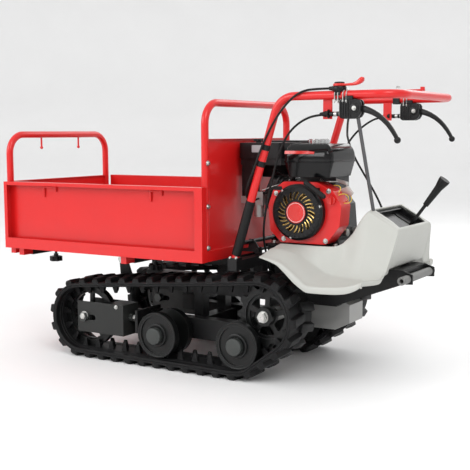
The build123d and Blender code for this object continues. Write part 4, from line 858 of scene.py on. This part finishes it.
# ---- control cables ------------------------------------------------------------------------
CABLES = {
    "throttle_cable": [(-526, 245, 928), (-480, 245, 928), (-438, 260, 924), (-400, 266, 902),
                       (-356, 267, 856), (-316, 265, 795), (-286, 263, 737), (-264, 263, 680),
                       (-240, 262, 632), (-222, 240, 596), (-212, 200, 579), (-200, 152, 574),
                       (-190, 104.9, 578)],
    "left_clutch_cable": [(-556, 245, 852), (-478, 245, 852), (-420, 241, 833), (-372, 235, 796),
                          (-340, 230, 742), (-318, 227, 680), (-300, 224, 615), (-282, 216, 555),
                          (-266, 202, 500), (-252, 178, 450), (-245, 148, 400), (-243, 120, 350),
                          (-244, 112, 301)],
    "right_clutch_cable": [(-556, -245, 852), (-478, -245, 852), (-426, -240, 827),
                           (-384, -226, 786), (-356, -210, 732), (-338, -198, 672),
                           (-320, -190, 610), (-300, -184, 552), (-280, -176, 498),
                           (-262, -162, 448), (-250, -142, 400), (-244, -120, 350),
                           (-244, -112, 301)],
    "drive_cable": [(-590, 227.5, 866), (-560, 192, 852), (-532, 142, 834), (-504, 84, 816),
                    (-476, 24, 798), (-450, -34, 784), (-438, -82, 752), (-448, -104, 708),
                    (-470, -112, 668), (-496, -112, 628), (-522, -110, 588), (-544, -108, 548),
                    (-562, -106, 508)],
}
CABLE_RADIUS = 0.0035


def add_cables():
    pieces = [tube(name, [[v / 1000 for v in at] for at in points], CABLE_RADIUS, "rubber")
              for name, points in CABLES.items()]
    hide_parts("control_cables")
    form = bmesh.new()
    for _, side in SIDES:
        y = side * 0.245
        add_lathe(form, (-0.556, y, 0.852), (1, 0, 0),
                  [(0.0036, 0), (0.0082, 0.0), (0.0084, 0.004), (0.0062, 0.005), (0.0062, 0.012),
                   (0.0075, 0.013), (0.0075, 0.022), (0.0062, 0.023), (0.0062, 0.032),
                   (0.0036, 0.032)], 28)
    place("cable_adjusters", form, "zinc")
    form = bmesh.new()
    for _, side in SIDES:
        add_lathe(form, (-0.517, side * 0.245, 0.852), (1, 0, 0),
                  [(0.0074, 0), (0.0125, 0.0), (0.0135, 0.002), (0.0125, 0.005), (0.0110, 0.009),
                   (0.0072, 0.018), (0.0050, 0.030), (0.0036, 0.030)], 28)
    place("cable_grommets", form, "rubber")


def add_shaped_bar(form, y, stations):
    """Lofts rounded-square rings along a path in a plane of constant Y."""
    sides, softness = 20, 0.65
    rings = []
    for index, (x, z, half_y, half_t) in enumerate(stations):
        before = stations[max(0, index - 1)]
        after = stations[min(len(stations) - 1, index + 1)]
        way = Vector((after[0] - before[0], 0, after[1] - before[1])).normalized()
        square = Vector((-way.z, 0, way.x))
        ring = []
        for i in range(sides):
            c = math.cos(2 * math.pi * i / sides)
            w = math.sin(2 * math.pi * i / sides)
            across = math.copysign(abs(c) ** softness, c) * half_y
            up = math.copysign(abs(w) ** softness, w) * half_t
            ring.append(Vector((x, y + across, z)) + square * up)
        rings.append(ring)
    add_loft(form, rings)


# X, height, half width across Y and half thickness along each lever.
THUMB_STATIONS = [
    (-0.5555, 0.9378, 0.0100, 0.0034), (-0.5680, 0.9376, 0.0098, 0.0034),
    (-0.5820, 0.9378, 0.0088, 0.0040), (-0.5950, 0.9386, 0.0076, 0.0044),
    (-0.6040, 0.9406, 0.0078, 0.0056), (-0.6120, 0.9436, 0.0090, 0.0070),
    (-0.6185, 0.9480, 0.0100, 0.0078), (-0.6220, 0.9520, 0.0100, 0.0074),
    (-0.6240, 0.9560, 0.0088, 0.0050), (-0.6246, 0.9585, 0.0070, 0.0028)]
HAND_LEVER_STATIONS = [
    (-0.5925, 0.8690, 0.0044, 0.0070), (-0.5980, 0.8688, 0.0047, 0.0105),
    (-0.6060, 0.8682, 0.0047, 0.0118), (-0.6180, 0.8672, 0.0047, 0.0112),
    (-0.6265, 0.8660, 0.0048, 0.0104), (-0.6340, 0.8642, 0.0062, 0.0098),
    (-0.6450, 0.8608, 0.0072, 0.0092), (-0.6600, 0.8545, 0.0074, 0.0084),
    (-0.6760, 0.8455, 0.0074, 0.0077), (-0.6920, 0.8330, 0.0072, 0.0072),
    (-0.7060, 0.8190, 0.0068, 0.0068), (-0.7180, 0.8035, 0.0064, 0.0064),
    (-0.7275, 0.7890, 0.0062, 0.0060), (-0.7320, 0.7810, 0.0060, 0.0058)]
BALL_CENTRE = (-0.735, 0.774)
BALL_RADIUS = 0.010
BAR_Y = 0.245                     # middle of each side tube of the handlebar
BAR_Z = 0.908
LEVER_PIVOT = (-0.605, 0.868)
THROTTLE_X = -0.550
THROTTLE_WIRES = (-0.541, -0.5515)    # X of the silver clamp wires
PERCH_WIRES = (-0.568, -0.579)


def add_throttle():
    """Round throttle base, its cap and the red lever with an upturned thumb paddle."""
    y = BAR_Y
    form = bmesh.new()
    add_lathe(form, (THROTTLE_X, y, 0.9175), (0, 0, 1),
              [(0.0, 0), (0.0165, 0), (0.0205, 0.003), (0.0212, 0.008), (0.0212, 0.0135),
               (0.0198, 0.0160), (0.0, 0.0160)], 48)
    add_lathe(form, (-0.540, y, 0.928), (1, 0, 0),
              [(0.0, 0), (0.0078, 0), (0.0074, 0.010), (0.0062, 0.016), (0.0058, 0.022),
               (0.0045, 0.024), (0.0, 0.024)], 28)
    for x in (-0.5445, -0.5555):
        add_box(form, (x - 0.004, y - 0.0155, 0.906), (x + 0.004, y + 0.0155, 0.920))
    base = place("throttle_base", form, "plastic", bevel=0.0006)
    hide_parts("throttle_housing")
    form = bmesh.new()
    add_lathe(form, (THROTTLE_X, y, 0.9340), (0, 0, 1),
              [(0.0, 0), (0.0180, 0), (0.0192, 0.0012), (0.0192, 0.0058), (0.0176, 0.0078),
               (0.0, 0.0078)], 48)
    add_shaped_bar(form, y, THUMB_STATIONS)
    lever = place("throttle_thumb_lever", form, "red_plastic", body="throttle_lever")
    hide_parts("throttle_lever")
    form = bmesh.new()
    add_lathe(form, (THROTTLE_X, y, 0.9418), (0, 0, 1),
              [(0.0, 0), (0.0150, 0), (0.0156, 0.0014), (0.0148, 0.0042), (0.0090, 0.0052),
               (0.0, 0.0054)], 40)
    place("throttle_cap", form, "plastic", body="throttle_lever")


PERCH_SIDE = [(-0.556, 0.846), (-0.559, 0.840), (-0.566, 0.837), (-0.606, 0.837),
              (-0.618, 0.842), (-0.625, 0.852), (-0.625, 0.884), (-0.620, 0.892),
              (-0.612, 0.8945), (-0.566, 0.8945), (-0.559, 0.892), (-0.556, 0.886)]


def add_perch(form, y):
    """Two cheeks with a core between them; the lever swings in the slot."""
    centre = Vector((0, y, 0))
    for low in (0.0052, -0.0150):
        add_prism(form, centre + Vector((0, low, 0)), LEFTWARD, (1, 0, 0), 0.0098,
                  [(x, -z) for x, z in PERCH_SIDE])
    add_prism(form, centre + Vector((0, -0.0053, 0)), LEFTWARD, (1, 0, 0), 0.0106,
              [(-0.583, -0.839), (-0.558, -0.842), (-0.558, -0.890), (-0.583, -0.8935)])
    for turned in (1, -1):
        outer = y + turned * 0.015
        for index in range(5):
            x = -0.593 + 0.008 * index
            add_box(form, (x - 0.0015, min(outer, outer + turned * 0.0022), 0.841),
                    (x + 0.0015, max(outer, outer + turned * 0.0022), 0.890))
        add_lathe(form, (LEVER_PIVOT[0], y + turned * 0.0148, LEVER_PIVOT[1]), (0, turned, 0),
                  [(0, 0), (0.0145, 0), (0.0140, 0.0020), (0.0120, 0.0026), (0, 0.0026)], 36)
    add_box(form, (-0.600, y - 0.0165, 0.8925), (-0.574, y + 0.0165, 0.9045))
    add_lathe(form, (-0.558, y, 0.852), (1, 0, 0),
              [(0.0, 0), (0.0072, 0.0), (0.0074, 0.006), (0.0068, 0.041), (0.0, 0.041)], 28)


def add_handlebar_hardware():
    """Lever perches with ribbed cheeks, silver clamp wires, pivot screws and nuts."""
    form = bmesh.new()
    for _, side in SIDES:
        add_perch(form, side * BAR_Y)
    add_box(form, (-0.554, -0.262, 0.892), (-0.530, -0.228, 0.9345))
    perches = place("ribbed_perches", form, "plastic", bevel=0.0009)
    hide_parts("lever_perches")
    form = bmesh.new()
    for y, spots in ((BAR_Y, THROTTLE_WIRES + PERCH_WIRES), (-BAR_Y, PERCH_WIRES)):
        for x in spots:
            add_lathe(form, (x - 0.0017, y, BAR_Z), (1, 0, 0),
                      [(0.0131, 0), (0.0150, 0), (0.0166, 0.0008), (0.0172, 0.0017),
                       (0.0166, 0.0026), (0.0150, 0.0034), (0.0131, 0.0034)], 40)
            for turned in (1, -1):
                add_lathe(form, (x, y + turned * 0.0148, 0.910), (0, 0, -1),
                          [(0, 0), (0.0018, 0), (0.0018, 0.026), (0, 0.0265)], 14)
                add_prism(form, (x, y + turned * 0.0148, 0.8905), (0, 0, -1), (1, 0, 0),
                          0.0032, hexagon(0.0036))
    for _, side in SIDES:
        for facing in (1, -1):
            screw = (LEVER_PIVOT[0], side * BAR_Y + facing * 0.0172, LEVER_PIVOT[1])
            add_bolt(form, screw, (0, facing, 0), 0.0085)
    add_bolt(form, (-0.542, -BAR_Y, 0.9475), (0, 0, 1), 0.010)
    place("bar_hardware", form, "zinc")


def add_hand_levers():
    """Blade levers, deep at the pivot and tapering to a ball."""
    for name, side in SIDES:
        y = side * BAR_Y
        form = bmesh.new()
        add_shaped_bar(form, y, HAND_LEVER_STATIONS)
        profile = [(BALL_RADIUS * math.sin(math.pi * i / 12),
                    -BALL_RADIUS * math.cos(math.pi * i / 12)) for i in range(13)]
        add_lathe(form, (BALL_CENTRE[0], y, BALL_CENTRE[1]), (0.3, 0, 0.9), profile, 28)
        lever = place(f"hand_lever_{name}", form, "black", body=f"clutch_lever_{name}")
        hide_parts(f"clutch_lever_{name}")


def add_wheel_caps():
    """Turned rings on each roller's face and a grey cap over its hub."""
    caps = bmesh.new()
    for _, side in SIDES:
        for x in ROLLER_X.values():
            add_lathe(caps, (x, side * 0.296, ROLLER_Z), (0, side, 0),
                      [(0, 0), (0.0285, 0), (0.0290, 0.0012), (0.0275, 0.0040),
                       (0.0120, 0.0062), (0.0, 0.0064)], 48)
    place("roller_hub_caps", caps, "hub")
    for name, side in SIDES:
        for end, x in ROLLER_X.items():
            form = bmesh.new()
            add_lathe(form, (x, side * 0.2785, ROLLER_Z), (0, side, 0),
                      [(0.0700, 0), (0.0712, 0.0018), (0.0728, 0.0028), (0.0770, 0.0028),
                       (0.0780, 0.0016), (0.0784, 0.0)], 72)
            add_lathe(form, (x, side * 0.2785, ROLLER_Z), (0, side, 0),
                      [(0.0300, 0), (0.0305, 0.0030), (0.0325, 0.0042), (0.0370, 0.0042),
                       (0.0400, 0.0030), (0.0405, 0.0)], 60)
            place(f"roller_rings_{end}_{name}", form, "casting",
                  body=f"roller_{end}_{name}")


def add_machine_bolts():
    """Bolt heads on the foot plates, engine deck, chassis and tension boxes."""
    form = bmesh.new()
    for _, side in SIDES:
        for dx in (-0.0115, 0.0115):
            add_bolt(form, (-0.184 + dx, side * 0.2582, 0.395), (0, side, 0), 0.006)
    for x, y in ((-0.470, 0.095), (-0.470, -0.095), (-0.245, 0.095), (-0.245, -0.095)):
        add_bolt(form, (x, y, 0.432), (0, 0, 1), 0.012)
    for _, side in SIDES:
        for z in (0.425, 0.560, 0.700):
            add_bolt(form, (-0.105, side * 0.284, z), (-1, 0, 0), 0.010)
        for x, z, width in ((0.436, 0.146, 0.020), (0.292, 0.190, 0.009)):
            add_bolt(form, (x, side * 0.2705, z), (0, side, 0), width)
        add_lathe(form, (0.262, side * 0.227, 0.150), (-1, 0, 0),
                  [(0.0, 0), (0.0070, 0), (0.0070, 0.034), (0.0060, 0.036), (0.0, 0.036)], 24)
        for x in (0.2615, 0.245):
            add_prism(form, (x, side * 0.227, 0.150), (-1, 0, 0), (0, 1, 0), 0.010,
                      hexagon(0.0125))
    place("machine_bolts", form, "zinc")


FOOT_TOP = 0.414                  # the handlebar's foot plates are black up to this height


def paint_nodes():
    """Gives every CAD node its look."""
    for name, thing in nodes.items():
        stem = name.removesuffix("_left").removesuffix("_right")
        thing.data.materials.clear()
        thing.data.materials.append(look[node_look[stem]])
    bar = nodes["handlebar"].data
    bar.materials.append(look["black"])
    for face in bar.polygons:
        if face.center.z < FOOT_TOP:
            face.material_index = 1


paint_nodes()
add_camera()
add_floor()
add_world()
add_light("key", (-3.2, 3.4, 4.2), (0.0, 0.0, 0.4), (2.6, 2.6), 125.0)
add_light("fill", (2.8, 4.2, 2.4), (0.0, 0.0, 0.4), (3.0, 2.0), 110.0)
add_light("back", (-1.0, -4.2, 3.4), (0.0, 0.0, 0.5), (3.2, 2.0), 60.0)

for side_name, side in SIDES:
    add_belt(f"rubber_belt_{side_name}", side)
add_recoil_details()
add_engine_trim()
add_cover()
add_leg_dressing()
add_cables()
add_throttle()
add_handlebar_hardware()
add_hand_levers()
add_wheel_caps()
add_machine_bolts()
